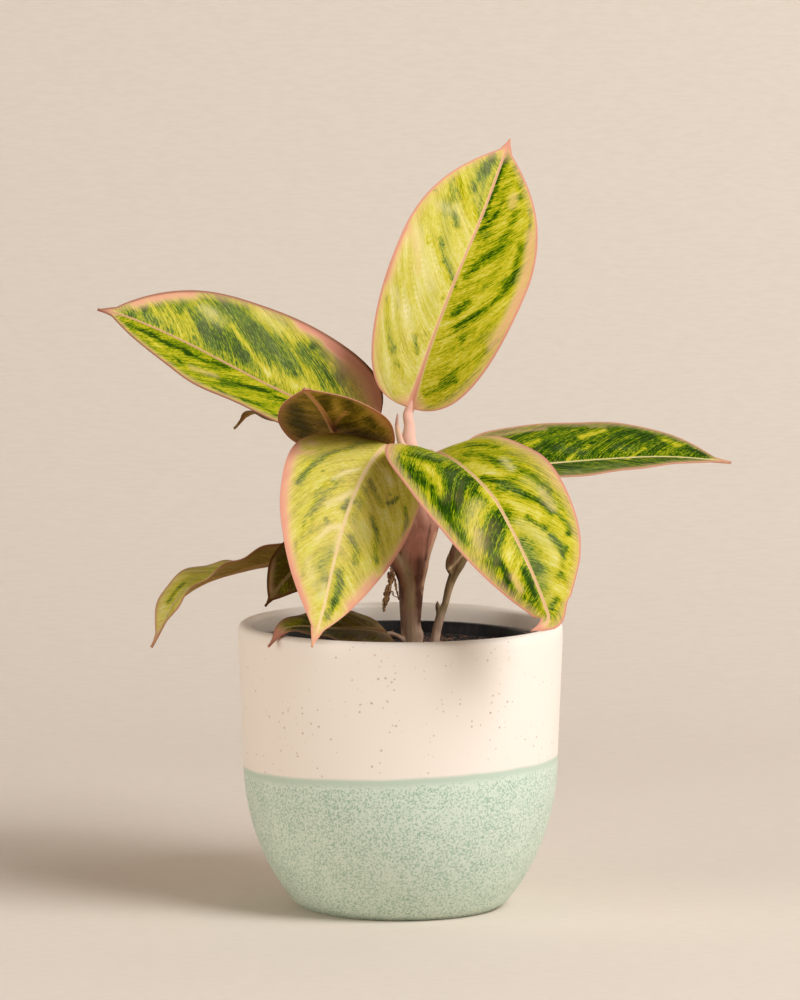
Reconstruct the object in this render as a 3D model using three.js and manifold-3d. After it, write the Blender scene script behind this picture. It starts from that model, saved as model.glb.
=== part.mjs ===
// A small potted Salmon Fantasy Chinese evergreen (Aglaonema): a two-glaze cover pot that holds a
// plastic nursery pot of soil, with a pink main stem, a thinner side shoot and ten leaves.
// Millimetres, +Z up. The origin is the middle of the cover pot's foot, on the surface it stands on.
// The plant is described as it is seen with the eye looking along +Y.
import * as THREE from "three";
import { mergeVertices } from "three/addons/utils/BufferGeometryUtils.js";
import Module from "manifold-3d";

const wasm = await Module();
wasm.setup();

// Cover pot: a straight upper wall that flares a little, over a belly that is part of an ellipse.
const POT_HEIGHT = 123.5;
const RIM_RADIUS = 70;
const BELLY_RADIUS = 68;
const BELLY_HEIGHT = 65;
const FOOT_RADIUS = 44;
const WALL = 5.5;
const FLOOR = 8;
const POT_SEGMENTS = 48;

// Nursery pot: the common 12 cm size, standing on the cover pot's floor.
const NURSERY_RIM_RADIUS = 60;
const NURSERY_LIP = 2.6;
const NURSERY_BASE_RADIUS = 39;
const NURSERY_TOP = 116.5;
const NURSERY_WALL = 1.4;
const DRAIN_HOLES = 5;
const DRAIN_HOLE_RADIUS = 4;

// Soil, just under the nursery pot's rim.
const SOIL_TOP = 111.5;
const SOIL_LUMP = 1.1;
const SOIL_HOLE_DEPTH = 16;

// The gap that touching solids keep.
const GAP = 0.3;

// Blades.
const BLADE_THICKNESS = 0.9;
const EDGE_THICKNESS = 0.62;
const RIB_HEIGHT = 1.3;
const NECK = 1.7;
const TIP_HALF_WIDTH = 0.45;
// The share of a blade's length over which its base lobes are set back.
const LOBE_SHARE = 0.35;
const LENGTH_STEPS = 20;
// Places across a blade, from the left margin to the right one, closer together at the rib.
const ACROSS = [-1, -0.74, -0.42, -0.1, 0, 0.1, 0.42, 0.74, 1];

// Colours.
const CREAM_GLAZE = "#ead9c4";
const BLACK_PLASTIC = "#1b1a19";
const DARK_SOIL = "#2b1f18";
const PINK_STEM = "#c08a7c";
const OLIVE_STEM = "#8c8260";
const DRY_BROWN = "#7a5a38";
const LEAF_GREEN = "#9fb03a";

const v3 = (p) => new THREE.Vector3(p[0], p[1], p[2]);
const mix = THREE.MathUtils.lerp;
const radians = THREE.MathUtils.degToRad;

// Every leaf. Pairs are for the left and the right half, with the tip up and the upper side in view.
// midrib: points from the blade's base to its tip. faces: where the upper side looks, at the base, the
// middle and the tip. half: the greatest width of each half. widest: where along the blade that is.
// lobe: how far the base lobes reach back past the base. drip: the share of the length that is drawn
// out to a narrow tip. fullness: how long each half stays wide before it tapers. fold: how far each
// half rises from the rib, in degrees, at the base and at the tip. curl: how much each half bends on
// the way to its margin, in degrees. wave: the height and number of the margin's ripples. stalk:
// points of the leaf stalk from the stem towards the blade, with radii spread evenly along it.
const LEAVES = [
  {
    name: "leaf_upright",
    midrib: [[4.1, 27, 213.6], [11.9, 26, 238], [22.8, 28, 267], [35.8, 35, 297.8], [47.6, 46, 329.2]],
    faces: [[-0.1, -1, 0.1], [-0.05, -1, 0.1], [0, -1, 0.2]],
    half: [29.5, 31.5],
    widest: [0.5, 0.5],
    lobe: [4, 2],
    drip: 0.03,
    fullness: [2.6, 2.2],
    fold: [[20, 12], [20, 12]],
    curl: [-10, -10],
    wave: [0.6, 3],
    stalk: { points: [[12, 6, 181], [7.5, 12, 191], [4.2, 18.5, 200]], radii: [3.4, 3, 2.5, 1.8] },
  },
  {
    name: "leaf_left",
    midrib: [
      [-12.4, 31, 200.5], [-31.5, 30, 210.2], [-60.1, 27, 224.5], [-95, 22, 243.2],
      [-117.7, 16, 253.7], [-130.5, 13, 257.8],
    ],
    faces: [[0.3, -0.62, 0.72], [0.3, -0.62, 0.72], [0.3, -0.62, 0.72]],
    half: [33, 34],
    widest: [0.42, 0.38],
    lobe: [3, 3],
    drip: 0.04,
    fullness: [2, 2],
    fold: [[31, 26], [31, 26]],
    curl: [-6, -6],
    wave: [0.6, 3],
    stalk: { points: [[10.5, 8, 180], [3, 19, 192]], radii: [2.8, 1.9] },
  },
  {
    name: "leaf_front_high",
    midrib: [[-26, 2.5, 202.1], [-28.5, -9.5, 208.1], [-33.7, -42, 220.8], [-40.4, -76, 232.2]],
    faces: [[0, 0.41, 0.91], [0, 0.41, 0.91], [0, 0.41, 0.91]],
    half: [27, 21],
    widest: [0.36, 0.36],
    lobe: [0, 0],
    drip: 0.03,
    fullness: [2, 2],
    fold: [[10, 6], [10, 6]],
    curl: [-6, -6],
    wave: [0.8, 3],
    stalk: { points: [[9, 2, 172], [-5, 1, 185], [-17, 3, 194.5]], radii: [2.6, 2.2, 1.9, 1.7] },
  },
  {
    name: "leaf_front_left",
    midrib: [
      [0.7, -10, 193.9], [-4.5, -19, 201.8], [-10, -30, 199.1], [-15.5, -42, 192.2],
      [-21.8, -56, 179.3], [-27.2, -68, 161.6], [-32.6, -78, 138.6], [-37.1, -83, 123.6],
    ],
    faces: [[-0.12, -0.1, 1], [0.28, -0.7, 0.6], [0.25, -0.9, 0.35]],
    half: [28, 32.5],
    widest: [0.46, 0.36],
    lobe: [0, 3],
    drip: 0.04,
    fullness: [2, 2],
    fold: [[-16, 10], [6, 10]],
    curl: [-10, -10],
    wave: [0.8, 3],
    stalk: { points: [[10, -1, 164], [6, -6, 180]], radii: [2.6, 1.8] },
  },
  {
    name: "leaf_front_right",
    midrib: [
      [13.9, -18, 198.2], [18.1, -33, 199], [24.4, -50, 197.3], [31.8, -65, 192.6], [39.3, -76, 185.3],
      [45.4, -84, 175.3], [50.8, -89, 164.9], [56.2, -92, 153.1], [60.4, -92, 142.1],
      [62.1, -92, 137.9], [59.6, -94, 134.8], [54.5, -97, 133.1],
    ],
    faces: [[-0.06, -0.1, 1], [0.15, -0.75, 0.6], [0.35, -0.9, 0.15]],
    half: [29.5, 31.5],
    widest: [0.53, 0.3],
    lobe: [6, 4],
    drip: 0.09,
    fullness: [2.6, 2.3],
    fold: [[16, 8], [20, 4]],
    curl: [-14, -14],
    wave: [0.7, 3],
    stalk: { points: [[12.5, 2, 170], [13.5, -5, 185]], radii: [2.6, 1.8] },
  },
  {
    name: "leaf_right",
    midrib: [[30, 14, 188], [56.1, 21, 190], [86.5, 29, 191], [114.9, 35, 191.6], [142, 40, 188.8]],
    faces: [[0, -0.3, 0.95], [0, -0.3, 0.95], [0, -0.3, 0.95]],
    half: [28, 29.5],
    widest: [0.42, 0.42],
    lobe: [3, 3],
    drip: 0.04,
    fullness: [2, 2],
    fold: [[14, 10], [14, 10]],
    curl: [-6, -6],
    wave: [0.8, 4],
    stalk: null,
  },
  {
    name: "leaf_low_left",
    midrib: [
      [-35.7, 16, 151.5], [-47.8, 13, 149.2], [-67.2, 9, 145.8], [-85.3, 5, 140.2], [-96, 1, 132.9],
      [-107.5, -6, 113.3],
    ],
    faces: [[0, 0.75, 0.65], [-0.2, 0, 1], [-0.6, -0.6, 0.5]],
    half: [15, 15],
    widest: [0.45, 0.45],
    lobe: [1, 1],
    drip: 0.05,
    fullness: [2, 2],
    fold: [[14, 26], [14, 26]],
    curl: [-4, -4],
    wave: [1, 5],
    stalk: { points: [[4, -0.5, 134], [-0.6, -1, 147], [-16, 10, 156]], radii: [3, 2.8, 2, 1.5] },
  },
  {
    name: "leaf_low_shaded",
    midrib: [
      [-23.9, 2, 161], [-32.5, -6, 156.3], [-43.1, -16, 150.1], [-51.2, -22, 142.2], [-57.9, -26, 133.7],
    ],
    faces: [[-0.2, -0.6, 0.8], [-0.3, -0.8, 0.5], [-0.3, -0.9, 0.3]],
    half: [15, 14],
    widest: [0.42, 0.42],
    lobe: [1, 1],
    drip: 0.05,
    fullness: [2, 2],
    fold: [[12, 10], [12, 10]],
    curl: [-8, -8],
    wave: [0.8, 3],
    stalk: { points: [[3.7, -1.5, 137.5], [-0.6, -2.5, 148.5], [-8, -1, 158]], radii: [3.4, 3.2, 2, 1.4] },
  },
  {
    name: "leaf_in_pot",
    midrib: [
      [-3.5, -6, 119.8], [-15.3, -18, 122.5], [-30.2, -30, 124.4], [-43, -39, 126.4],
      [-50, -44.5, 125.6], [-56.2, -50, 119.5],
    ],
    faces: [[0, -0.25, 1], [0, -0.3, 1], [-0.5, -0.5, 0.8]],
    half: [14, 14],
    widest: [0.4, 0.4],
    lobe: [1, 1],
    drip: 0.04,
    fullness: [2, 2],
    fold: [[8, 8], [8, 8]],
    curl: [-4, -4],
    wave: [0.8, 4],
    stalk: { points: [[2.5, -1.5, 114], [0, -4, 117.5]], radii: [1.8, 1.3] },
  },
  {
    name: "leaf_back_left",
    midrib: [
      [-12, 20, 189], [-30.7, 38, 199.8], [-52.9, 60, 207.2], [-66.3, 72, 206.9], [-73.5, 78, 199.6],
    ],
    faces: [[0, 0, 1], [-0.1, 0.1, 1], [-0.3, 0.2, 0.9]],
    half: [20, 20],
    widest: [0.43, 0.43],
    lobe: [2, 2],
    drip: 0.05,
    fullness: [2, 2],
    fold: [[8, 8], [8, 8]],
    curl: [-8, -8],
    wave: [0.8, 3],
    stalk: { points: [[8, 6, 170], [-1, 13, 182]], radii: [2.4, 1.6] },
  },
];

// Main stem, from the soil up to where the upright leaf's stalk leaves it, with its radii.
const STEM = [
  [5, 0, 97], [4.6, 0, 124], [5.2, 0, 137], [6, 0, 146], [8.2, 0.5, 156], [10.8, 2, 165],
  [12.6, 4.5, 175], [10.5, 8.5, 186],
];
const STEM_RADII = [4.4, 4.5, 4.6, 5, 6, 6, 5.2, 3.6];
// The bract beside the upright leaf's stalk: the rolled tip of the next leaf.
const SPIKE = [[8, 11, 189], [1.5, 13, 200], [-1.4, 14, 211.8]];
const SPIKE_RADII = [2, 1.5, 0.4];
// Side shoot, from the soil to the right-hand leaf.
const SHOOT = [
  [12.4, 8, 97], [14.1, 8, 108], [15.4, 8, 118.9], [17.5, 8, 128.5], [21.4, 8, 137.2], [23.4, 8, 145],
  [26.6, 9, 154.5], [29, 11, 170.9],
];
const SHOOT_RADII = [2, 2.1, 2, 1.8, 1.9, 3, 4.1, 3];
const SHOOT_END_RADIUS = 1.8;
// Withered sheath that hangs from the main stem.
const DRY_SHEATH = [[-4.1, -4.6, 147.5], [-4.7, -6, 140], [-5.6, -6.5, 135], [-7.8, -7, 128.7]];
const DRY_SHEATH_RADII = [0.7, 1.3, 1.3, 0.5];

// A closed surface from rings of points, each ring going round the same way, with flat ends.
function ringsToGeometry(rings) {
  const sides = rings[0].length;
  const positions = [];
  const indices = [];
  rings.forEach((ring) => ring.forEach((p) => positions.push(p.x, p.y, p.z)));
  for (let r = 0; r < rings.length - 1; r++) {
    for (let i = 0; i < sides; i++) {
      const a = r * sides + i;
      const b = r * sides + ((i + 1) % sides);
      indices.push(a, b, a + sides, b, b + sides, a + sides);
    }
  }
  const last = (rings.length - 1) * sides;
  for (let i = 1; i < sides - 1; i++) {
    indices.push(0, i + 1, i, last, last + i, last + i + 1);
  }
  const geometry = new THREE.BufferGeometry();
  geometry.setAttribute("position", new THREE.Float32BufferAttribute(positions, 3));
  geometry.setIndex(indices);
  return geometry;
}

// A round tube through the points whose radius changes evenly from one given radius to the next.
function taperedTube(points, radii, sides, steps) {
  const curve = new THREE.CatmullRomCurve3(points.map(v3), false, "centripetal");
  const frames = curve.computeFrenetFrames(steps, false);
  const rings = [];
  for (let s = 0; s <= steps; s++) {
    const along = s / steps;
    const centre = curve.getPointAt(along);
    const place = along * (radii.length - 1);
    const before = Math.min(Math.floor(place), radii.length - 2);
    const radius = mix(radii[before], radii[before + 1], place - before);
    const ring = [];
    for (let i = 0; i < sides; i++) {
      const angle = (2 * Math.PI * i) / sides;
      const out = frames.normals[s].clone().multiplyScalar(Math.cos(angle));
      out.addScaledVector(frames.binormals[s], Math.sin(angle));
      ring.push(centre.clone().addScaledVector(out, radius));
    }
    rings.push(ring);
  }
  return ringsToGeometry(rings);
}

// A blade's half-width as a share of its widest: an ellipse at the base, then a taper to the tip,
// whose last part is drawn out to a narrow point.
function outline(t, widest, drip, fullness) {
  if (t < widest) return Math.sqrt(1 - ((widest - t) / widest) ** 2.4);
  const end = 1 - drip;
  const taper = Math.max(0, 1 - ((t - widest) / (end - widest)) ** fullness);
  return Math.max(taper, 0.09 * Math.min(1, (1 - t) / (1.5 * drip)));
}

// The three given directions, blended along the blade.
function facingAt(faces, t) {
  const [from, to, share] = t < 0.5 ? [faces[0], faces[1], t * 2] : [faces[1], faces[2], t * 2 - 1];
  return v3(from).normalize().lerp(v3(to).normalize(), share).normalize();
}

// The point of a blade's middle layer at t along and v across, and the way its upper side looks there.
function bladePoint(leaf, curve, t, v) {
  const tangent = curve.getTangentAt(t);
  const facing = facingAt(leaf.faces, t);
  const up = facing.addScaledVector(tangent, -facing.dot(tangent)).normalize();
  const side = tangent.clone().cross(up);
  const across = Math.abs(v);
  const hand = v < 0 ? -1 : 1;
  const half = v < 0 ? 0 : 1;
  const share = outline(t, leaf.widest[half], leaf.drip, leaf.fullness[half]);
  const width = Math.max(leaf.half[half] * share, mix(NECK, TIP_HALF_WIDTH, t));
  const fold = radians(mix(leaf.fold[half][0], leaf.fold[half][1], t));
  const curl = radians(leaf.curl[half]);
  const early = Math.max(0, 1 - t / LOBE_SHARE);
  const setBack = leaf.lobe[half] * across * 6.75 * (t / LOBE_SHARE) * early * early;
  const out = (width * (Math.sin(fold + curl * across) - Math.sin(fold))) / curl;
  const rise = (width * (Math.cos(fold) - Math.cos(fold + curl * across))) / curl;
  const turn = fold + curl * across;
  const normal = up.clone().multiplyScalar(Math.cos(turn)).addScaledVector(side, -hand * Math.sin(turn));
  const ripple = leaf.wave[0] * across * across * Math.sin(Math.PI * t);
  const wave = ripple * Math.sin(2 * Math.PI * leaf.wave[1] * t + hand);
  const point = curve.getPointAt(t).addScaledVector(side, hand * out).addScaledVector(up, rise);
  return { point: point.addScaledVector(normal, wave).addScaledVector(tangent, -setBack), normal };
}

function midribCurve(leaf) {
  return new THREE.CatmullRomCurve3(leaf.midrib.map(v3), false, "centripetal");
}

// A thin blade whose two faces are split alike, thicker under the midrib than at its margins.
function bladeGeometry(leaf) {
  const curve = midribCurve(leaf);
  const columns = ACROSS.length;
  const positions = [];
  const indices = [];
  const layer = [[], []];
  for (let r = 0; r <= LENGTH_STEPS; r++) {
    const t = r / LENGTH_STEPS;
    ACROSS.forEach((v) => {
      const { point, normal } = bladePoint(leaf, curve, t, v);
      const edge = Math.abs(v);
      const half = mix(BLADE_THICKNESS, EDGE_THICKNESS, edge) / 2;
      const rib = edge < 0.05 ? RIB_HEIGHT * (1 - 0.8 * t) : 0;
      layer[0].push(point.clone().addScaledVector(normal, half));
      layer[1].push(point.clone().addScaledVector(normal, -half - rib));
    });
  }
  [...layer[0], ...layer[1]].forEach((p) => positions.push(p.x, p.y, p.z));
  const lower = layer[0].length;
  for (let r = 0; r < LENGTH_STEPS; r++) {
    for (let c = 0; c < columns - 1; c++) {
      const a = r * columns + c;
      const b = a + 1;
      const d = a + columns;
      const e = d + 1;
      indices.push(a, b, e, a, e, d);
      indices.push(lower + a, lower + e, lower + b, lower + a, lower + d, lower + e);
    }
    const left = r * columns;
    const right = left + columns - 1;
    const next = columns;
    indices.push(left, left + next, lower + left + next, left, lower + left + next, lower + left);
    indices.push(right, lower + right + next, right + next, right, lower + right, lower + right + next);
  }
  const lastRow = LENGTH_STEPS * columns;
  for (let c = 0; c < columns - 1; c++) {
    const far = lastRow + c;
    indices.push(c, lower + c + 1, c + 1, c, lower + c, lower + c + 1);
    indices.push(far, far + 1, lower + far + 1, far, lower + far + 1, lower + far);
  }
  const geometry = new THREE.BufferGeometry();
  geometry.setAttribute("position", new THREE.Float32BufferAttribute(positions, 3));
  geometry.setIndex(indices);
  return geometry;
}

// The leaf stalk, which ends flat against the blade's base.
function stalkGeometry(leaf, points, radii, steps) {
  const curve = midribCurve(leaf);
  const base = curve.getPointAt(0);
  const tangent = curve.getTangentAt(0);
  const back = (distance) => base.clone().addScaledVector(tangent, -distance).toArray();
  return taperedTube([...points, back(3), back(GAP)], radii, 8, steps);
}

// Joining and cutting.
function toSolid(geometry) {
  const bare = geometry.clone();
  bare.deleteAttribute("normal");
  bare.deleteAttribute("uv");
  const merged = mergeVertices(bare, 1e-4);
  const mesh = new wasm.Mesh({
    numProp: 3,
    vertProperties: new Float32Array(merged.attributes.position.array),
    triVerts: new Uint32Array(merged.index.array),
  });
  return new wasm.Manifold(mesh);
}

function toGeometry(solid) {
  const mesh = solid.getMesh();
  const geometry = new THREE.BufferGeometry();
  geometry.setAttribute("position", new THREE.BufferAttribute(new Float32Array(mesh.vertProperties), 3));
  geometry.setIndex(new THREE.BufferAttribute(new Uint32Array(mesh.triVerts), 1));
  geometry.computeVertexNormals();
  return geometry;
}

function joined(geometries) {
  return geometries.map(toSolid).reduce((whole, piece) => whole.add(piece));
}

// The outside of the cover pot at a height above its foot.
function potRadius(z) {
  if (z >= BELLY_HEIGHT) {
    const share = (z - BELLY_HEIGHT) / (POT_HEIGHT - 8 - BELLY_HEIGHT);
    return mix(BELLY_RADIUS, RIM_RADIUS, Math.min(1, share));
  }
  const reach = BELLY_HEIGHT / Math.sqrt(1 - (FOOT_RADIUS / BELLY_RADIUS) ** 2);
  return BELLY_RADIUS * Math.sqrt(1 - ((BELLY_HEIGHT - z) / reach) ** 2);
}

function coverPot() {
  const profile = [[0, 0], [FOOT_RADIUS - 1, 0]];
  const heights = [1.2, 5, 10, 16, 23, 31, 41, 52, BELLY_HEIGHT, 90, POT_HEIGHT - 5];
  heights.forEach((z) => profile.push([potRadius(z), z]));
  const lip = WALL / 2;
  const lipCentre = RIM_RADIUS - lip;
  for (let i = 1; i < 6; i++) {
    const angle = (Math.PI * i) / 6;
    profile.push([lipCentre + lip * Math.cos(angle), POT_HEIGHT - lip + lip * Math.sin(angle)]);
  }
  const insideHeights = [POT_HEIGHT - 5, 90, BELLY_HEIGHT, 46, 31, 20, FLOOR + 4];
  insideHeights.forEach((z) => profile.push([potRadius(z) - WALL, z]));
  profile.push([potRadius(FLOOR) - WALL - 5, FLOOR], [0, FLOOR]);
  return toLathe(profile, POT_SEGMENTS);
}

function toLathe(profile, segments) {
  const lathe = new THREE.LatheGeometry(profile.map(([r, z]) => new THREE.Vector2(r, z)), segments);
  return lathe.rotateX(Math.PI / 2);
}

function nurseryRadius(z) {
  const base = FLOOR + GAP;
  return mix(NURSERY_BASE_RADIUS, NURSERY_RIM_RADIUS - NURSERY_LIP, (z - base) / (NURSERY_TOP - base));
}

function nurseryPot() {
  const base = FLOOR + GAP;
  const lipBottom = NURSERY_TOP - 6;
  const lathe = toLathe(
    [
      [0, base],
      [nurseryRadius(base), base],
      [nurseryRadius(60), 60],
      [nurseryRadius(lipBottom), lipBottom],
      [NURSERY_RIM_RADIUS, lipBottom],
      [NURSERY_RIM_RADIUS, NURSERY_TOP],
      [nurseryRadius(NURSERY_TOP) - NURSERY_WALL, NURSERY_TOP],
      [nurseryRadius(60) - NURSERY_WALL, 60],
      [nurseryRadius(base + 2) - NURSERY_WALL, base + 2],
      [0, base + 2],
    ],
    POT_SEGMENTS,
  );
  let pot = toSolid(lathe);
  for (let i = 0; i < DRAIN_HOLES; i++) {
    const angle = (2 * Math.PI * i) / DRAIN_HOLES;
    const hole = new THREE.CylinderGeometry(DRAIN_HOLE_RADIUS, DRAIN_HOLE_RADIUS, 10, 12);
    hole.rotateX(Math.PI / 2).translate(26 * Math.cos(angle), 26 * Math.sin(angle), base);
    pot = pot.subtract(toSolid(hole));
  }
  return toGeometry(pot);
}

// Soil that fills the nursery pot, lumpy on top, with a plain hole for each stem.
function soil() {
  const bottom = FLOOR + GAP + 2 + GAP;
  const wallRadius = (z) => nurseryRadius(z) - NURSERY_WALL - 2 * GAP;
  const profile = [[0, bottom], [wallRadius(bottom), bottom], [wallRadius(60), 60]];
  profile.push([wallRadius(SOIL_TOP), SOIL_TOP - 1.5]);
  [0.93, 0.8, 0.62, 0.42, 0.2].forEach((share) => profile.push([wallRadius(SOIL_TOP) * share, SOIL_TOP]));
  profile.push([0, SOIL_TOP]);
  const heap = toLathe(profile, 36);
  const position = heap.attributes.position;
  for (let i = 0; i < position.count; i++) {
    if (position.getZ(i) > SOIL_TOP - 0.5) {
      const [x, y] = [position.getX(i), position.getY(i)];
      const lump = Math.sin(x * 0.31 + y * 0.12) * Math.cos(y * 0.27 - x * 0.09);
      const grain = 0.5 * Math.sin(x * 0.71 - y * 0.63);
      position.setZ(i, SOIL_TOP + SOIL_LUMP * (lump + grain));
    }
  }
  let body = toSolid(heap);
  [[STEM, STEM_RADII], [SHOOT, SHOOT_RADII]].forEach(([points, radii]) => {
    const foot = v3(points[0]);
    const up = v3(points[1]).sub(foot).normalize();
    const hole = new THREE.CylinderGeometry(radii[1] + 2 * GAP, radii[1] + 2 * GAP, 2 * SOIL_HOLE_DEPTH, 14);
    hole.translate(0, SOIL_HOLE_DEPTH - GAP, 0);
    hole.applyQuaternion(new THREE.Quaternion().setFromUnitVectors(new THREE.Vector3(0, 1, 0), up));
    hole.translate(foot.x, foot.y, foot.z);
    body = body.subtract(toSolid(hole));
  });
  return toGeometry(body);
}

// Main stem with the stalks of the nine leaves that grow from it, one grown body of one colour.
function mainStem() {
  const pieces = [taperedTube(STEM, STEM_RADII, 12, 14), taperedTube(SPIKE, SPIKE_RADII, 6, 6)];
  LEAVES.filter((leaf) => leaf.stalk).forEach((leaf) => {
    pieces.push(stalkGeometry(leaf, leaf.stalk.points, leaf.stalk.radii, 9));
  });
  return toGeometry(joined(pieces));
}

function sideShoot() {
  const leaf = LEAVES.find((candidate) => !candidate.stalk);
  const radii = [...SHOOT_RADII, SHOOT_END_RADIUS, SHOOT_END_RADIUS];
  return toGeometry(joined([stalkGeometry(leaf, SHOOT, radii, 18)]));
}

function addPiece(group, name, geometry, color, roughness) {
  const material = new THREE.MeshStandardMaterial({ color, roughness, metalness: 0 });
  const mesh = new THREE.Mesh(geometry, material);
  mesh.name = name;
  group.add(mesh);
}

const plant = new THREE.Group();
addPiece(plant, "cover_pot", coverPot(), CREAM_GLAZE, 0.45);
addPiece(plant, "nursery_pot", nurseryPot(), BLACK_PLASTIC, 0.4);
addPiece(plant, "potting_soil", soil(), DARK_SOIL, 0.95);
addPiece(plant, "main_stem", mainStem(), PINK_STEM, 0.5);
addPiece(plant, "side_shoot", sideShoot(), OLIVE_STEM, 0.55);
addPiece(plant, "dry_sheath", taperedTube(DRY_SHEATH, DRY_SHEATH_RADII, 6, 8), DRY_BROWN, 0.8);
LEAVES.forEach((leaf) => addPiece(plant, leaf.name, bladeGeometry(leaf), LEAF_GREEN, 0.4));

export default plant;
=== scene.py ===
import math
import random

import bmesh
import bpy
import numpy as np
from mathutils import Matrix, Vector, noise


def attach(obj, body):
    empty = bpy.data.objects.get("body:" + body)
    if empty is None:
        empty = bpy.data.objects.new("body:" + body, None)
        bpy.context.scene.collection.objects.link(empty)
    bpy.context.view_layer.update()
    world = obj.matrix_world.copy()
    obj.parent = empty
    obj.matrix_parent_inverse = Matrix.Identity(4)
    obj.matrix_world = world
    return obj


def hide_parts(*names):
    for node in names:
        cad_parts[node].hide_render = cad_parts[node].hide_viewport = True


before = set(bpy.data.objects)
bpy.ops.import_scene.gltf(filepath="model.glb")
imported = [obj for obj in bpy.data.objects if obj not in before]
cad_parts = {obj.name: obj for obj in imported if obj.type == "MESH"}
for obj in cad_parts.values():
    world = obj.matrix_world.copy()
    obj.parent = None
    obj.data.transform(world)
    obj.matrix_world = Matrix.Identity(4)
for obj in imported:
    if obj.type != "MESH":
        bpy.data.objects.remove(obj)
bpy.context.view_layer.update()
mm = 0.001


def toLinear(hexColour):
    # shaders take linear values, the hex ones are sRGB
    parts = [int(hexColour[i:i + 2], 16) / 255 for i in (1, 3, 5)]
    return [p / 12.92 if p < 0.04045 else ((p + 0.055) / 1.055) ** 2.4 for p in parts] + [1]


def addNode(tree, kind, inputs=None, **settings):
    # inputs: socket name or number, with a value or with what it is linked to: a socket, or a node,
    # which stands for its first live output
    node = tree.nodes.new("ShaderNode" + kind)
    for name, value in settings.items():
        setattr(node, name, value)
    for name, value in (inputs or {}).items():
        if isinstance(value, bpy.types.Node):
            value = next(socket for socket in value.outputs if socket.enabled)
        if isinstance(value, bpy.types.NodeSocket):
            tree.links.new(value, node.inputs[name])
        else:
            node.inputs[name].default_value = value
    return node


def setRamp(node, stops):
    # stops: (place, hex colour) from dark to light
    elements = node.color_ramp.elements
    while len(elements) < len(stops):
        elements.new(0.5)
    for element, (place, colour) in zip(elements, stops):
        element.position = place
        element.color = toLinear(colour)


def newMaterial(name):
    material = bpy.data.materials.new(name)
    material.use_nodes = True
    tree = material.node_tree
    tree.nodes.clear()
    return material, tree


def selectOnly(*pieces):
    bpy.ops.object.select_all(action="DESELECT")
    for piece in pieces:
        piece.select_set(True)
    bpy.context.view_layer.objects.active = pieces[-1]


def joinPieces(pieces):
    selectOnly(*pieces)
    bpy.ops.object.join()
    return bpy.context.object


def mendSkin(piece):
    # one closed skin: doubles merged, loose edges gone, faces outwards
    selectOnly(piece)
    bpy.ops.object.mode_set(mode="EDIT")
    bpy.ops.mesh.select_all(action="SELECT")
    bpy.ops.mesh.remove_doubles(threshold=0.01 * mm)
    bpy.ops.mesh.delete_loose(use_verts=True, use_edges=True, use_faces=False)
    bpy.ops.mesh.select_all(action="SELECT")
    bpy.ops.mesh.normals_make_consistent(inside=False)
    bpy.ops.object.mode_set(mode="OBJECT")


def applyModifier(piece, kind, **settings):
    selectOnly(piece)
    modifier = piece.modifiers.new(kind.title(), kind)
    for name, value in settings.items():
        setattr(modifier, name, value)
    bpy.ops.object.modifier_apply(modifier=modifier.name)


def readVertices(mesh, field):
    flat = np.empty(len(mesh.vertices) * 3)
    mesh.vertices.foreach_get(field, flat)
    return flat.reshape(-1, 3)


def writeAttribute(mesh, name, values):
    attribute = mesh.attributes.new(name, "FLOAT_VECTOR", "POINT")
    attribute.data.foreach_set("vector", values.ravel().astype(np.float32))


def finishPiece(piece, name, slot, *nodes):
    # its place goes into its mesh, and it stands for the frame's nodes
    selectOnly(piece)
    bpy.ops.object.transform_apply(location=True, rotation=True, scale=True)
    bpy.ops.object.shade_smooth()
    piece.name = name
    piece.data.name = name
    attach(piece, "root")
    if nodes:
        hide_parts(*nodes)


# Lines and blades


def smoothLine(points, shares):
    # a centripetal Catmull-Rom line in mm, read at shares of its length: places, directions, length
    points = [np.array(p, float) for p in points]
    ends = [2 * points[0] - points[1], *points, 2 * points[-1] - points[-2]]
    places = []
    for p0, p1, p2, p3 in zip(ends, ends[1:], ends[2:], ends[3:]):
        d0, d1, d2 = (np.linalg.norm(b - a) ** 0.5 for a, b in ((p0, p1), (p1, p2), (p2, p3)))
        m1 = ((p1 - p0) / d0 - (p2 - p0) / (d0 + d1) + (p2 - p1) / d1) * d1
        m2 = ((p2 - p1) / d1 - (p3 - p1) / (d1 + d2) + (p3 - p2) / d2) * d1
        s = np.linspace(0, 1, 60, endpoint=False)[:, None]
        places.append(p1 + m1 * s + (3 * (p2 - p1) - 2 * m1 - m2) * s ** 2 + (2 * (p1 - p2) + m1 + m2) * s ** 3)
    places = np.vstack([*places, points[-1]])
    run = np.concatenate([[0], np.cumsum(np.linalg.norm(np.diff(places, axis=0), axis=1))])
    heading = np.gradient(places, run, axis=0)
    place, heading = (np.stack([np.interp(shares * run[-1], run, row) for row in rows.T], 1)
                      for rows in (places, heading))
    return place, unit(heading), run[-1]


def unit(vectors):
    return vectors / np.linalg.norm(vectors, axis=-1)[..., None]


def smoothStep(low, high, value):
    share = np.clip((value - low) / (high - low), 0, 1)
    return share * share * (3 - 2 * share)


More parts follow.
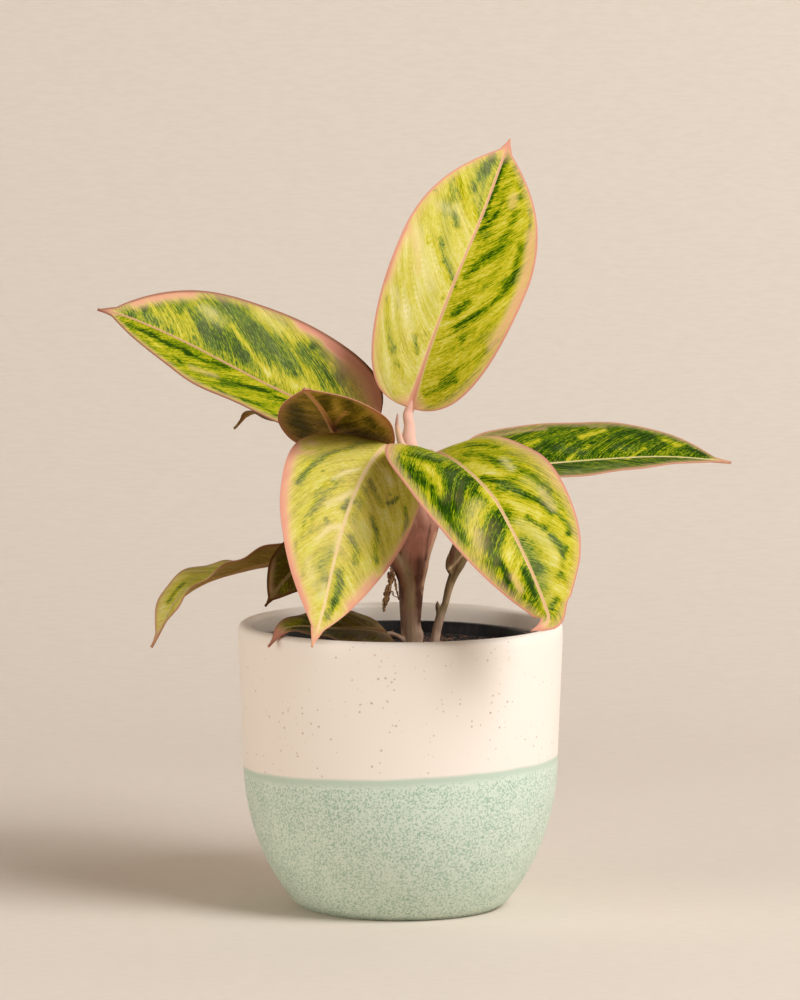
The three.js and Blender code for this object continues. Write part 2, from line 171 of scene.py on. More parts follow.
blade = {
    "rows": 132, "columns": 84, "crowding": 0.125,  # columns stand closer at the rib and the margins
    "middleThickness": 0.8, "edgeThickness": 0.42, "ribThickness": 2.3, "ribHalfWidth": 1.1,  # mm
    "ribTaper": 0.75, "ribSink": 0.38,  # shares: thinner at the tip, and set below the sheet
    "neck": 1.7, "tipHalfWidth": 0.45,  # least half-width in mm at the base and at the tip
    "baseRound": 2.4, "dripWidth": 0.09, "dripLength": 1.5, "lobeShare": 0.35,
    "veinSpacing": 9.5, "veinRise": 0.3, "veinLevel": 0.62,  # mm between side veins, and the bulge between them
    "veinLean": 0.62, "veinSweep": 0.75,  # how fast a side vein runs tipwards, at the rib and outwards
    "veinShift": (0.37, 0.11),  # of the left half, and from leaf to leaf
    "marginWidth": 1.35, "ribWidth": 1.35,  # mm of pink
    "ribFlare": 1.1, "flareLength": 13, "ribNarrowing": 0.4, "noiseStep": (23, 7),
}
# where each colour of the rim and rib is full and where it ends: in rib or margin widths, or in mm
zones = {
    "rib": (0.55, 1.1), "margin": (0.2, 1.5), "inner": (0.5, 4.5), "innerPink": 0.38,
    "tip": (2, 14), "tipSlant": 0.6, "base": (2, 13), "baseSlant": 0.7, "basePink": 0.8,
    # ribShade: how much of the margin's painted shade also falls on the rib
    "ribPink": 0.9, "ribPinkEnds": (0.03, 0.3), "ribShade": 0.5, "ribClears": 0.75, "ribCream": 0.7,
}

# pairs are for a blade's left and right half; lengths in mm, fold and curl in degrees, fold at the base and
# at the tip; faces: where the upper side looks at the base, the middle and the tip; green, pale, brown,
# blush, rust and ribPink: how strong each colour is; brown is painted shade on leaves that lie in shade, and
# rust is painted shade that darkens the pink margin and rib; wave: height in mm and number of waves; marks by
# kind of colour: radius, strength, then places as mm along the rib and mm to its right; bloom marks are
# painted sheen, brown marks painted shade, and cream marks partly the leaf's own pale pattern and partly
# painted highlights
leaves = {
    "leafUpright": {
        # the left half is paler: partly its own paler tone and partly painted sheen where it faces the light
        "node": "leaf_upright", "seed": 1, "green": (0.27, 0.45), "pale": (0.1, 0), "brown": 0, "blush": 1,
        "rimShade": 0.04, "ribPink": 0.75,
        "midrib": [(4.1, 27, 213.6), (11.9, 26, 238), (22.8, 28, 267), (35.8, 35, 297.8), (47.6, 46, 329.2)],
        "faces": [(-0.1, -1, 0.1), (-0.05, -1, 0.1), (0, -1, 0.2)],
        "half": (29.5, 31.5), "widest": (0.5, 0.5), "lobe": (4, 2), "drip": 0.03, "fullness": (2.6, 2.2),
        "fold": ((20, 12), (20, 12)), "curl": (-10, -10), "wave": (0.6, 3),
        "marks": {
            "dark": [
                (2, 0.36, (115.5, -5), (107, -7), (99, -7.5)), (1.8, 0.24, (95, -14.5), (84, -15.5)),
                (13, 0.16, (108, -8), (88, -10)),
                (1.8, 0.5, (119.5, 0.5), (112.5, 0.5), (103.5, 0.5), (96, 0.5), (90, 0.5)), (0.9, 0.6, (115.5, 6.5)),
                (1.1, 0.7, (113, 10), (110.5, 12.5)), (1.6, 0.25, (108.5, 11.5), (102, 13)),
                (1.2, 0.25, (99, 6.5), (92, 6), (83.5, 2.5)),
                (1.9, 0.38, (95.5, 13.5), (88, 14), (79, 12.5), (70.5, 7.5), (62, 4)),
                (0.9, 0.25, (98, 19.5), (88, 23), (80.5, 23)),
                (1.7, 0.42, (83, 21), (76, 22.5), (69.5, 24), (61.5, 22)),
                (1.2, 0.4, (59, 21.5), (51.5, 18), (45.5, 12.5), (40, 8.5)), (1.5, 0.42, (52, 9.5), (45.5, 5)),
                (0.8, 0.55, (36.5, 13)), (0.9, 0.25, (41.5, 27.5), (32.5, 22), (24.5, 15.5), (17, 9.5)),
                (1.6, 0.38, (19.5, 16), (13.5, 10.5), (9, 6)), (1.4, 0.5, (116.5, -5), (111.5, -4.5), (107.5, -4.5)),
                (0.9, 0.22, (104.5, -4.5), (93.5, -2.5)), (0.8, 0.3, (100, -18), (94.5, -17)),
                (0.8, 0.25, (91, -18), (86, -17)), (1.1, 0.4, (85.5, -12), (81, -8.5)),
                (1.2, 0.45, (73, -13), (67, -8.5), (62, -3.5), (56.5, 1)), (0.7, 0.6, (71, -11.5)),
                (0.7, 0.5, (64, -8)), (0.7, 0.6, (56.5, -0.5)), (0.7, 0.5, (50, -2)), (0.7, 0.6, (92, -23.5)),
                (0.7, 0.4, (69, -17.5)), (1, 0.3, (41.5, -25.5), (33, -21.5), (23, -15)), (0.9, 0.5, (25, -14.5)),
                (1.1, 0.25, (19.5, -11.5), (16, -8)), (1, 0.38, (31.5, -8), (24.5, -4.5)),
                (0.8, 0.2, (50.5, -22.5), (39.5, -18.5)),
            ],
            "paintedSheen": [
                (2, 0.42, (115.5, -5.5), (107.5, -4.5), (98, -3.5)),
                (2.4, 0.3, (109.5, -10.5), (101.5, -9), (94.5, -5.5)),
                (2, 0.36, (87.5, -16.5), (75, -11.5), (65, -5.5), (59, -0.5)), (2, 0.24, (33.5, -21.5), (23, -14)),
                (2.4, 0.21, (53, -9.5), (43, -4.5)),
            ],
            # these cream marks are partly the leaf's own pale pattern and partly painted sheen on the left half
            "cream": [
                (1.6, -0.45, (101.5, -14.5), (94, -9), (88, -3.5)), (1.2, -0.45, (71, -18), (64.5, -11.5), (58, -3)),
                (2.6, 0.32, (86, -19), (86, -15)), (3.6, 0.32, (71, -24), (61, -16), (53, -9.5)),
                (1.6, 0.28, (45.5, -23), (38.5, -16.5), (29.5, -9.5)),
                (1.3, 0.32, (89, -12), (83.5, -6.5), (77, -0.5)),
            ],
            "pink": [
                (2.2, 0.35, (102, 10.5), (98, 11)),
                (2.2, 0.4, (88.5, 23), (76, 27), (63, 28.5), (50, 28), (38.5, 25.5)),
                (2.6, 0.22, (71, -27), (64.5, -20.5), (56.5, -16.5)), (2, 0.35, (70.5, -29.5), (60, -29), (49, -28)),
            ],
        },
    },
    "leafLeft": {
        "node": "leaf_left", "seed": 2, "green": (0.6, 0.62), "pale": (0, 0.05), "brown": 0, "blush": 1, "rimShade": 0.58,
        "ribPink": 0.85,
        "midrib": [
            (-12.4, 31, 200.5), (-31.5, 30, 210.2), (-60.1, 27, 224.5), (-95, 22, 243.2), (-117.7, 16, 253.7),
            (-130.5, 13, 257.8),
        ],
        "faces": [(0.3, -0.62, 0.72)] * 3,
        "half": (35, 34), "widest": (0.5, 0.37), "lobe": (0, 5), "drip": 0.035, "fullness": (3.4, 2.5),
        "fold": ((29, 20), (34.5, 16)), "curl": (-6, -6), "wave": (0.6, 3),
        "marks": {
            "dark": [
                (1.5, 0.56, (113, 7)), (1.1, 0.44, (118, 1.5)), (2, 0.24, (111, 3.5), (106, 4)),
                (1.2, 0.24, (98.5, 17), (98, 12)), (2.6, 0.28, (87, 11), (81.5, 7), (77.5, 5)),
                (4.4, 0.34, (78.5, 12), (72.5, 9.5), (67.5, 7.5)), (3, 0.28, (84, 25.5), (76, 24.5), (68.5, 20)),
                (4.6, 0.3, (66, 20.5), (58, 17), (49.5, 13.5), (44, 11.5)), (1.2, 0.4, (40, 25.5)),
                (2, 0.24, (39.5, 27.5), (34.5, 24.5)), (2.2, 0.4, (29.5, 27.5), (26.5, 23), (25, 16.5)),
                (1.8, 0.24, (45, 23.5), (37, 18.5), (30.5, 13)), (1.5, 0.24, (32.5, 18.5), (26.5, 13)),
                (1, -0.3, (76, 17.5), (69.5, 13.5), (61, 9), (52.5, 4.5)),
                (4.2, -0.25, (66.5, 29), (56.5, 27), (47.5, 25.5)), (3.2, -0.3, (50, 7), (42.5, 6), (35.5, 6.5)),
                (3.4, -0.15, (104, 7.5), (93.5, 5.5)), (2.2, 0.5, (118, -8.5), (109.5, -8.5), (101, -11), (90.5, -9)),
                (1.8, 0.36, (90.5, -11), (82, -9.5), (71.5, -3.5)), (1.5, 0.28, (102, -19.5), (93.5, -22.5)),
                (2.2, 0.4, (72, -22), (63, -15), (54, -10), (42, -8.5)), (1.1, 0.4, (75.5, -30.5), (69.5, -31.5)),
                (1.2, 0.28, (61.5, -30), (52, -27), (44.5, -28)), (1.4, -0.25, (117.5, -8.5), (109, -15), (97, -22)),
                (0.9, 0.48, (111.5, -13.5)),
            ],
            "paintedSheen": [
                (2.6, 0.36, (111, 4), (105.5, 4.5)), (2.6, 0.3, (88, 12), (80, 5.5)),
                (3.4, 0.3, (81.5, 25.5), (68.5, 21)), (4.4, 0.3, (62, 19), (47.5, 13.5)),
            ],
            "cream": [
                (2.6, 0.2, (86, 17), (80.5, 16.5)), (2, 0.28, (90, 19), (85.5, 19)),
                (3, 0.21, (66.5, 29), (56.5, 27)),
            ],
            "pink": [
                (9.5, 0.95, (21, 29), (15, 25.5), (6, 17.5)), (4.4, 0.75, (46.5, 33), (37.5, 33.5), (29.5, 32)),
                (2.6, 0.5, (34, 29), (30, 28.5)), (2.6, 0.5, (117.5, 7), (106.5, 16), (95.5, 22.5)),
                (2.2, 0.35, (87.5, -22.5), (76, -18.5)),
            ],
            # painted shade: the base lobe is darkened brown where it lies in shade
            "brown": [(10, 0.45, (16, 26.5), (6.5, 18))],
        },
    },
    "leafFrontHigh": {
        "node": "leaf_front_high", "seed": 3, "green": (0.66, 0.7), "pale": (0, 0), "brown": 0.02, "blush": 0.8,
        "rimShade": 0.35, "ribPink": 0.75,
        "midrib": [(-26, 6.2, 201.7), (-28.5, -5.8, 207.7), (-33.7, -38.3, 220.4), (-40.4, -72.3, 231.8)],
        "faces": [(0, 0.41, 0.91)] * 3,
        "half": (29, 21), "widest": (0.36, 0.36), "lobe": (8, 7), "drip": 0.03, "fullness": (2, 2),
        "fold": ((-14, 6), (-8, 5)), "curl": (-12, -6), "wave": (0.2, 3),
        "marks": {
            "dark": [
                (4, 0.45, (56, 10.5), (31.5, 13.5), (15.5, 12)), (3.4, 0.35, (69, -5.5), (46, -1.5)),
                (3, 0.35, (63.5, -14.5), (44, -13), (22.5, -7.5)), (2.6, 0.4, (37.5, -19.5), (29.5, -20)),
                (2.2, -0.3, (63.5, -8), (39.5, -6)), (2, -0.3, (15, -2.5), (22, -10)),
            ],
            "pink": [
                (0.9, 0.55, (20.5, -1), (33.5, -5.5), (45, -10.5)), (5.5, 0.4, (8, -19.5), (9.5, -21)),
                (3, 0.4, (52, -22.5), (34, -25)),
            ],
        },
    },
    "leafFrontLeft": {
        "node": "leaf_front_left", "seed": 4, "green": (0.34, 0.36), "pale": (0.08, 0.1), "brown": 0, "blush": 0.7,
        "rimShade": 0, "ribPink": 0.42,
        "midrib": [
            (0.7, -10, 193.9), (-4.5, -19, 201.8), (-10, -30, 199.1), (-15.5, -42, 192.2), (-21.8, -56, 179.3),
            (-27.2, -68, 161.6), (-32.6, -78, 138.6), (-37.1, -83, 123.6),
        ],
        "faces": [(-0.12, -0.1, 1), (0.28, -0.7, 0.6), (0.25, -0.9, 0.35)],
        "half": (28, 32.5), "widest": (0.46, 0.36), "lobe": (0, 3), "drip": 0.04, "fullness": (2, 2),
        "fold": ((-16, 10), (6, 10)), "curl": (-10, -10), "wave": (0.8, 3),
        "marks": {
            "dark": [
                (1.8, 0.35, (17.5, 6), (23.5, 10.5), (32, 12.5)),
                (1.3, 0.5, (34, 15), (41.5, 18.5), (48, 21), (55, 23), (60, 24)), (0.7, 0.5, (49.5, 16)),
                (0.9, 0.28, (48.5, 8.5), (55, 13), (62.5, 16)),
                (2, 0.32, (51, 7.5), (57, 10.5), (64, 13.5), (70.5, 15)), (1.5, 0.65, (57, 0), (62.5, 2)),
                (1, 0.75, (70.5, 8)), (1, 0.25, (75, 16.5), (81, 16.5)), (1, 0.2, (73, 13.5), (77.5, 13.5)),
                (2.6, 0.25, (83.5, 2), (91, 5), (97.5, 1)), (1, 0.2, (84.5, 18), (95.5, 16.5)),
                (1.6, 0.35, (43.5, -3.5), (47.5, -7.5), (52.5, -12.5)), (2.6, 0.2, (50, -3.5), (64, -4)),
                (0.8, 0.5, (45, -13.5)), (0.9, 0.65, (50, -14.5), (47.5, -16.5), (44.5, -17)),
                (1, 0.5, (47, -22), (52.5, -25), (62, -26)),
                (1.3, 0.4, (60.5, -11), (67.5, -14.5), (74.5, -16), (81, -18)), (0.8, 0.4, (65.5, -14)),
                (1.9, 0.38, (74.5, -4.5), (80, -8.5), (84.5, -8.5)), (2, 0.6, (91, -3.5), (97, -4.5), (103.5, -4)),
                (1.8, 0.42, (105.5, -3.5), (111.5, -2.5)), (2, -0.2, (33.5, -7), (39, -13)),
            ],
            "paintedSheen": [
                (2, 0.3, (57, 0.5), (63, 2.5)), (3.4, 0.45, (82, 3), (89, 5), (95, 2.5)),
                (2, 0.36, (99, 6), (102, 3)), (3, 0.36, (67, -5.5), (72.5, -9)), (2.4, 0.3, (92, -3.5), (99.5, -4.5)),
            ],
            # these cream marks are partly the leaf's own pale patches and partly painted highlights along the side
            # veins and beside the rib
            "cream": [
                (2.6, 0.35, (34.5, 26.5)), (0.9, 0.52, (39.5, 2.5), (45, 7.5), (51, 10.5)),
                (1.3, 0.49, (52.5, 1), (58.5, 4.5), (64, 9)), (1.2, 0.52, (70, 0.5), (74, 6), (81, 9.5)),
                (1.6, 0.42, (72.5, 0.5), (82, 0.5)), (1.2, 0.42, (98.5, 2), (104, 2)),
                (2.4, 0.24, (89.5, 11.5), (99.5, 7)),
            ],
            "pink": [
                (11, 0.12, (105, 4), (118, 0)), (16, 0.13, (30, 12), (75, 8)), (12, 0.1, (50, -10), (90, -4)),
                (2, 0.5, (34.5, 26.5)), (1.5, 0.4, (44.5, 28), (41, 24)),
                (3, 0.55, (40.5, 31.5), (56, 30), (69, 27.5), (85, 22.5), (97.5, 16), (110, 8)),
                (3, 0.5, (89, -18.5), (96.5, -14.5), (103.5, -10.5)),
                (2.2, 0.45, (59.5, -28), (72.5, -26.5), (83, -23)),
            ],
        },
    },
    "leafFrontRight": {
        "node": "leaf_front_right", "seed": 5, "green": (0.55, 0.64), "pale": (0, 0), "brown": 0, "blush": 1,
        "rimShade": 0.12, "ribPink": 0.65,
        "midrib": [
            (13.9, -18, 198.2), (18.1, -33, 199), (24.4, -50, 197.3), (31.8, -65, 192.6), (39.3, -76, 185.3),
            (45.4, -84, 175.3), (50.8, -89, 164.9), (56.2, -92, 153.1), (60.4, -92, 142.1), (61.8, -92, 137.2),
            (60.4, -93.5, 134.4), (54.8, -97, 132.4),
        ],
        "faces": [(-0.06, -0.1, 1), (0.15, -0.75, 0.6), (0.35, -0.9, 0.15)],
        "half": (29.5, 32), "widest": (0.53, 0.27), "lobe": (6, -4), "drip": 0.035, "fullness": (2.6, 2.3),
        "fold": ((23, 8), (33, -6)), "curl": (-14, -24), "wave": (0.5, 3),
        "marks": {
            "dark": [
                (10, -0.24, (92, -9), (112, -10)), (5, -0.2, (6, 14), (15, 25)),
                (3, 0.34, (28.5, 19), (31.5, 14.5), (34, 10)), (3, 0.34, (38, 24.5), (46.5, 25.5)),
                (1, 0.42, (44, 23)), (1.1, 0.42, (53, 22)), (0.9, 0.42, (45, 28)),
                (5, 0.42, (46.5, 10), (56.5, 13.5), (64.5, 19.5)), (2.6, 0.3, (52.5, 3.5), (61, 7)),
                (2, 0.3, (50, 23.5), (57.5, 23.5), (66.5, 23.5), (75, 22.5), (82.5, 21)),
                (2.6, -0.35, (39, 18), (49, 17.5), (56.5, 20.5)), (3.6, -0.2, (68, 8.5), (77, 15.5), (85.5, 17.5)),
                (2.4, -0.3, (61, 2), (67.5, 1)), (3.8, 0.38, (75.5, 0.5), (80.5, 6.5), (85.5, 11)),
                (2, 0.34, (85, 12.5), (89.5, 13), (94, 12.5)), (1.4, 0.72, (95.5, 11), (99.5, 10.5), (103, 10.5)),
                (1.9, 0.34, (103, 14), (107.5, 11)), (2.6, -0.25, (87.5, 2), (92, 6.5), (99, 7.5), (106.5, 8)),
                (1.3, 0.47, (101, 3), (106.5, 2.5), (111.5, 3)), (1.2, 0.27, (22.5, -10), (30, -14.5), (37, -18)),
                (1.5, 0.27, (30, -5.5), (39.5, -10.5), (49.5, -13)),
                (1.7, 0.41, (53.5, -2.5), (60.5, -6.5), (66, -9.5), (71, -12)),
                (1.6, 0.36, (72, -12.5), (76.5, -16.5), (82.5, -18)),
                (1.4, 0.27, (58, -17.5), (64.5, -19), (71.5, -22)),
                (1.2, 0.51, (80.5, -8.5), (85, -10.5), (88.5, -13)),
                (1.5, 0.59, (92.5, -14), (96.5, -15), (100.5, -16)), (1.4, 0.72, (94, -21.5)),
                (0.8, 0.51, (99.5, -18)), (0.9, 0.42, (73.5, -22.5)), (3, -0.22, (44, -3), (57.5, -9)),
                (3, -0.25, (69, -4.5), (76, -7.5), (83, -12)), (3, 0.38, (90.5, -1), (96.5, -2.5), (103, -4)),
                (2.6, 0.32, (104, -2), (111.5, -2.5)), (1.3, 0.38, (120, -2.5), (117.5, -6)),
                (1.6, 0.24, (102.5, -15), (109.5, -10.5)),
            ],
            "paintedSheen": [
                (6, 0.12, (92, -9), (108, -10)), (3.4, 0.36, (24.5, 15), (31.5, 9)),
                (4, 0.21, (46.5, 10), (53.5, 10)), (2, 0.24, (86.5, 13), (92.5, 12)),
                (2.2, 0.3, (62, -6.5), (69, -10.5)), (1.8, 0.24, (93, -14.5), (99, -16)),
                (2.6, 0.21, (83, -4), (95, -11.5)), (3.6, 0.57, (90.5, -1), (97.5, -2.5), (106.5, -4)),
                (3.2, 0.45, (109.5, -2), (118.5, -2)),
            ],
            # these cream marks are partly the leaf's own pale patches and partly painted sheen
            "cream": [
                (4, 0.15, (68.5, 9.5), (76, 15.5), (83, 17.5)), (1.9, 0.2, (65.5, -16), (71.5, -18.5)),
                (2, 0.2, (73.5, -19), (81, -20.5)), (1.6, 0.35, (47.5, -15.5), (57.5, -14.5)),
                (2.4, 0.2, (82, -4), (88, -8.5), (94, -11.5), (102, -12.5)),
            ],
            "pink": [
                (5, 0.22, (30, -24), (70, -26)), (7, 0.1, (60, 14), (95, 10)), (5, 0.32, (6, 14), (14, 24), (24, 29)),
                (2.6, 0.2, (80, 15), (88, 17.5)), (1.5, 0.4, (102, 8.5), (108.5, 7.5)),
                (2, 0.2, (73.5, -19), (81, -20.5)),
            ],
        },
    },
    "leafRight": {
        "node": "leaf_right", "seed": 6, "green": (0.86, 0.9), "pale": (0, 0), "brown": 0, "blush": 0.85,
        "rimShade": 0.22, "ribPink": 0.2,
        "midrib": [(30, 14, 188), (56.1, 21, 188.9), (86.5, 29, 190.5), (114.9, 35, 191.1), (144.3, 40, 188.6)],
        "faces": [(0, -0.3, 0.95)] * 3,
        "half": (32, 24.5), "widest": (0.34, 0.3), "lobe": (4.8, 0), "drip": 0.04, "fullness": (3.1, 1.6),
        "fold": ((14, 10), (14, 10)), "curl": (-6, -6), "wave": (0.25, 4),
        "marks": {
            "dark": [
                (2, -0.38, (20.5, -23), (24.5, -17.5), (28.5, -12)), (1.8, -0.35, (30, -14.5), (36, -18.5)),
                (1.6, -0.5, (55, -18.5), (60, -20.5), (66, -23)), (2, -0.42, (90, -14), (95, -11)),
                (0.8, -0.55, (70, 3), (75.5, -3), (80.5, -7)), (0.8, -0.5, (44.5, -1.5), (51.5, -7.5), (57, -11.5)),
                (2.6, 0.2, (80.5, -19), (86.5, -14)), (1.5, 0.35, (99.5, -8), (106, -4)),
                (2.6, 0.2, (39.5, -15), (44, -10.5), (51.5, -7)), (2, 0.2, (72.5, -20), (80.5, -20.5)),
            ],
            "paintedSheen": [
                (3, 0.21, (44, -10.5), (52.5, -6.5)), (2.4, 0.18, (68.5, -9), (74.5, -6.5)),
                (2.4, 0.36, (36, 16.5), (50, 15.5), (66, 11)),
            ],
            "cream": [(1, 0.28, (38, 18.5), (44, 18.5))],
            "pink": [(1.4, 0.3, (22, -24.5), (31, -27), (41.5, -27)), (1.2, 0.2, (61, -27), (67, -25.5))],
        },
    },
    "leafLowLeft": {
        "node": "leaf_low_left", "seed": 7, "green": (0.42, 0.33), "pale": (0.1, 0.1), "brown": 0.05, "blush": 0.75,
        "rimShade": 0.28, "ribPink": 0.5,
        "midrib": [
            (-35.7, 16, 151.5), (-47.8, 13, 149.2), (-67.2, 9, 145.8), (-85.3, 5, 140.2), (-96, 1, 132.9),
            (-107.5, -6, 113.3),
        ],
        "faces": [(0, 0.75, 0.65), (-0.2, 0, 1), (-0.6, -0.6, 0.5)],
        "half": (15, 15), "widest": (0.45, 0.45), "lobe": (1, 1), "drip": 0.05, "fullness": (2, 2),
        "fold": ((14, 26), (14, 26)), "curl": (-4, -4), "wave": (1, 5),
        "marks": {
            "dark": [(1.2, 0.45, (59, 5), (64.5, 4), (69, 3))],
            "paintedSheen": [(1.2, 0.36, (53, 5), (60.5, 1.5), (70, 0))],
            "cream": [(1.2, 0.21, (70.5, 4), (75, 3.5))],
        },
    },
    "leafLowShaded": {
        # painted shade: this leaf lies in the shade of the front-left leaf, so its green is set past the darkest level
        # and its brown share darkens it further
        "node": "leaf_low_shaded", "seed": 8, "green": (1.12, 1.12), "pale": (0, 0), "brown": 0.62, "blush": 0.35,
        "rimShade": 0.5, "ribPink": 0.5,
        "midrib": [
            (-23.9, 2, 161), (-32.5, -6, 156.3), (-43.1, -16, 150.1), (-51.2, -22, 142.2), (-57.9, -26, 133.7),
        ],
        "faces": [(-0.2, -0.6, 0.8), (-0.3, -0.8, 0.5), (-0.3, -0.9, 0.3)],
        "half": (15, 14), "widest": (0.42, 0.42), "lobe": (1, 1), "drip": 0.05, "fullness": (2, 2),
        "fold": ((12, 10), (12, 10)), "curl": (-8, -8), "wave": (0.8, 3),
        "marks": {
            "dark": [(2, -0.3, (41, 0), (42.5, -4))],
            "pink": [(1.6, 0.4, (34.5, 10.5), (46, 2.5))],
        },
    },
    "leafInPot": {
        # painted shade: this leaf lies low in the pot under the others, so its green is set past the darkest level and
        # its brown share darkens it
        "node": "leaf_in_pot", "seed": 9, "green": (1.05, 1), "pale": (0, 0), "brown": 0.4, "blush": 0.6, "rimShade": 0.3,
        "ribPink": 0.5,
        "midrib": [
            (-6, -8, 119.8), (-15.3, -18, 122.5), (-30.2, -30, 124.4), (-43, -39, 126.4), (-50, -44.5, 125.6),
            (-56.2, -50, 119.5),
        ],
        "faces": [(0.1, -0.6, 0.8), (0, -0.5, 0.85), (-0.5, -0.5, 0.8)],
        "half": (13, 12), "widest": (0.3, 0.3), "lobe": (2, 2), "drip": 0.04, "fullness": (2.4, 2.4),
        "fold": ((8, 8), (8, 8)), "curl": (-4, -4), "wave": (0.8, 4),
        "marks": {
            "dark": [(5, -0.4, (50, 4), (58, 3)), (2, 0.3, (52.5, 7), (46, 10))],
            "pink": [(6, 1, (75, 0), (64, 1))],
            # painted shade: darker brown near the stalk, less towards the tip
            "brown": [(8, -0.4, (76, 0), (60, 0)), (12, 0.35, (2, 0), (22, 0))],
        },
    },
    "leafBackLeft": {
        # painted shade: this leaf lies in shade behind the left leaf, and its brown share darkens it
        "node": "leaf_back_left", "seed": 10, "green": (0.6, 0.6), "pale": (0, 0), "brown": 0.45, "blush": 0.3,
        "rimShade": 0.4, "ribPink": 0.5,
        "midrib": [(-12, 20, 189), (-30.7, 38, 199.8), (-52.9, 60, 207.2), (-66.3, 72, 206.9), (-73.5, 78, 199.6)],
        "faces": [(0, 0, 1), (-0.1, 0.1, 1), (-0.3, 0.2, 0.9)],
        "half": (15, 22), "widest": (0.43, 0.43), "lobe": (2, 2), "drip": 0.05, "fullness": (2, 2),
        "fold": ((8, 8), (8, 8)), "curl": (-8, -8), "wave": (0.8, 3),
        "marks": {},
    },
}


def bySide(left, pair):
    return np.where(left, pair[0], pair[1])


def bladeOutline(t, widest, drip, fullness):
    # half-width as a share of the widest: an ellipse at the base, a taper, and a drawn-out tip
    base = np.sqrt(np.clip(1 - (np.clip(widest - t, 0, None) / widest) ** blade["baseRound"], 0, 1))
    taper = 1 - (np.clip(t - widest, 0, None) / (1 - drip - widest)) ** fullness
    tip = blade["dripWidth"] * np.clip((1 - t) / (blade["dripLength"] * drip), 0, 1)
    return np.where(t < widest, base, np.maximum(np.clip(taper, 0, 1), tip))


def bladeSurface(leaf, t, v):
    # the middle layer of a blade at t along and v across, all in mm, and the lengths its pattern needs
    place, tangent, length = smoothLine(leaf["midrib"], t)
    faces = unit(np.array(leaf["faces"], float))
    share = (2 * t)[:, None]
    facing = unit(np.where(share < 1, faces[0] + (faces[1] - faces[0]) * share,
                           faces[1] + (faces[2] - faces[1]) * (share - 1)))
    up = unit(facing - tangent * (facing * tangent).sum(1)[:, None])
    side = np.cross(tangent, up)
    across = np.abs(v)
    left = v < 0
    hand = np.where(left, -1, 1)
    half = bySide(left, leaf["half"])
    outline = bladeOutline(t, bySide(left, leaf["widest"]), leaf["drip"], bySide(left, leaf["fullness"]))
    width = np.maximum(half * outline, blade["neck"] + (blade["tipHalfWidth"] - blade["neck"]) * t)
    fold = bySide(left, [np.radians(start + (end - start) * t) for start, end in leaf["fold"]])
    curl = np.radians(bySide(left, leaf["curl"]))
    turn = fold + curl * across
    out = width * (np.sin(turn) - np.sin(fold)) / curl
    rise = width * (np.cos(fold) - np.cos(turn)) / curl
    early = np.clip(1 - t / blade["lobeShare"], 0, None)
    # 27 / 4 brings the top of this curve to 1
    setBack = bySide(left, leaf["lobe"]) * across * (27 / 4) * (t / blade["lobeShare"]) * early ** 2
    normal = up * np.cos(turn)[:, None] - side * (hand * np.sin(turn))[:, None]
    waveHeight, waves = leaf["wave"]
    ripple = waveHeight * across ** 2 * np.sin(np.pi * t) * np.sin(2 * np.pi * waves * t + hand)
    # side veins: how far a point lies from the vein that starts at the base, measured along the rib
    far = across * width
    vein = t * length - blade["veinLean"] * far - blade["veinSweep"] * far ** 2 / half
    leftShift, leafShift = blade["veinShift"]
    ridge = np.abs(np.sin(np.pi * (vein / blade["veinSpacing"] + leftShift * left + leafShift * leaf["seed"])))
    fade = smoothStep(0.05, 0.3, across) * smoothStep(0, 0.25, 1 - across) * smoothStep(2, 12, width)
    swell = blade["veinRise"] * (ridge - blade["veinLevel"]) * fade
    point = place + side * (hand * out)[:, None] + up * rise[:, None] - tangent * setBack[:, None]
    point = point + normal * (ripple + swell)[:, None]
    return point, {"vein": vein, "ridge": ridge, "far": far, "edge": width - far, "along": t * length,
                   "length": length, "left": left, "hand": hand, "across": across}


def brushShare(here, radius, places):
    # how much of a soft brush stroke through the places covers each point
    track = np.array(places, float)
    nearest = np.linalg.norm(here - track[0], axis=1)
    for a, b in zip(track, track[1:]):
        run = np.clip(((here - a) @ (b - a)) / ((b - a) @ (b - a)), 0, 1)[:, None]
        nearest = np.minimum(nearest, np.linalg.norm(here - a - run * (b - a), axis=1))
    return np.exp(-(nearest / radius) ** 2)


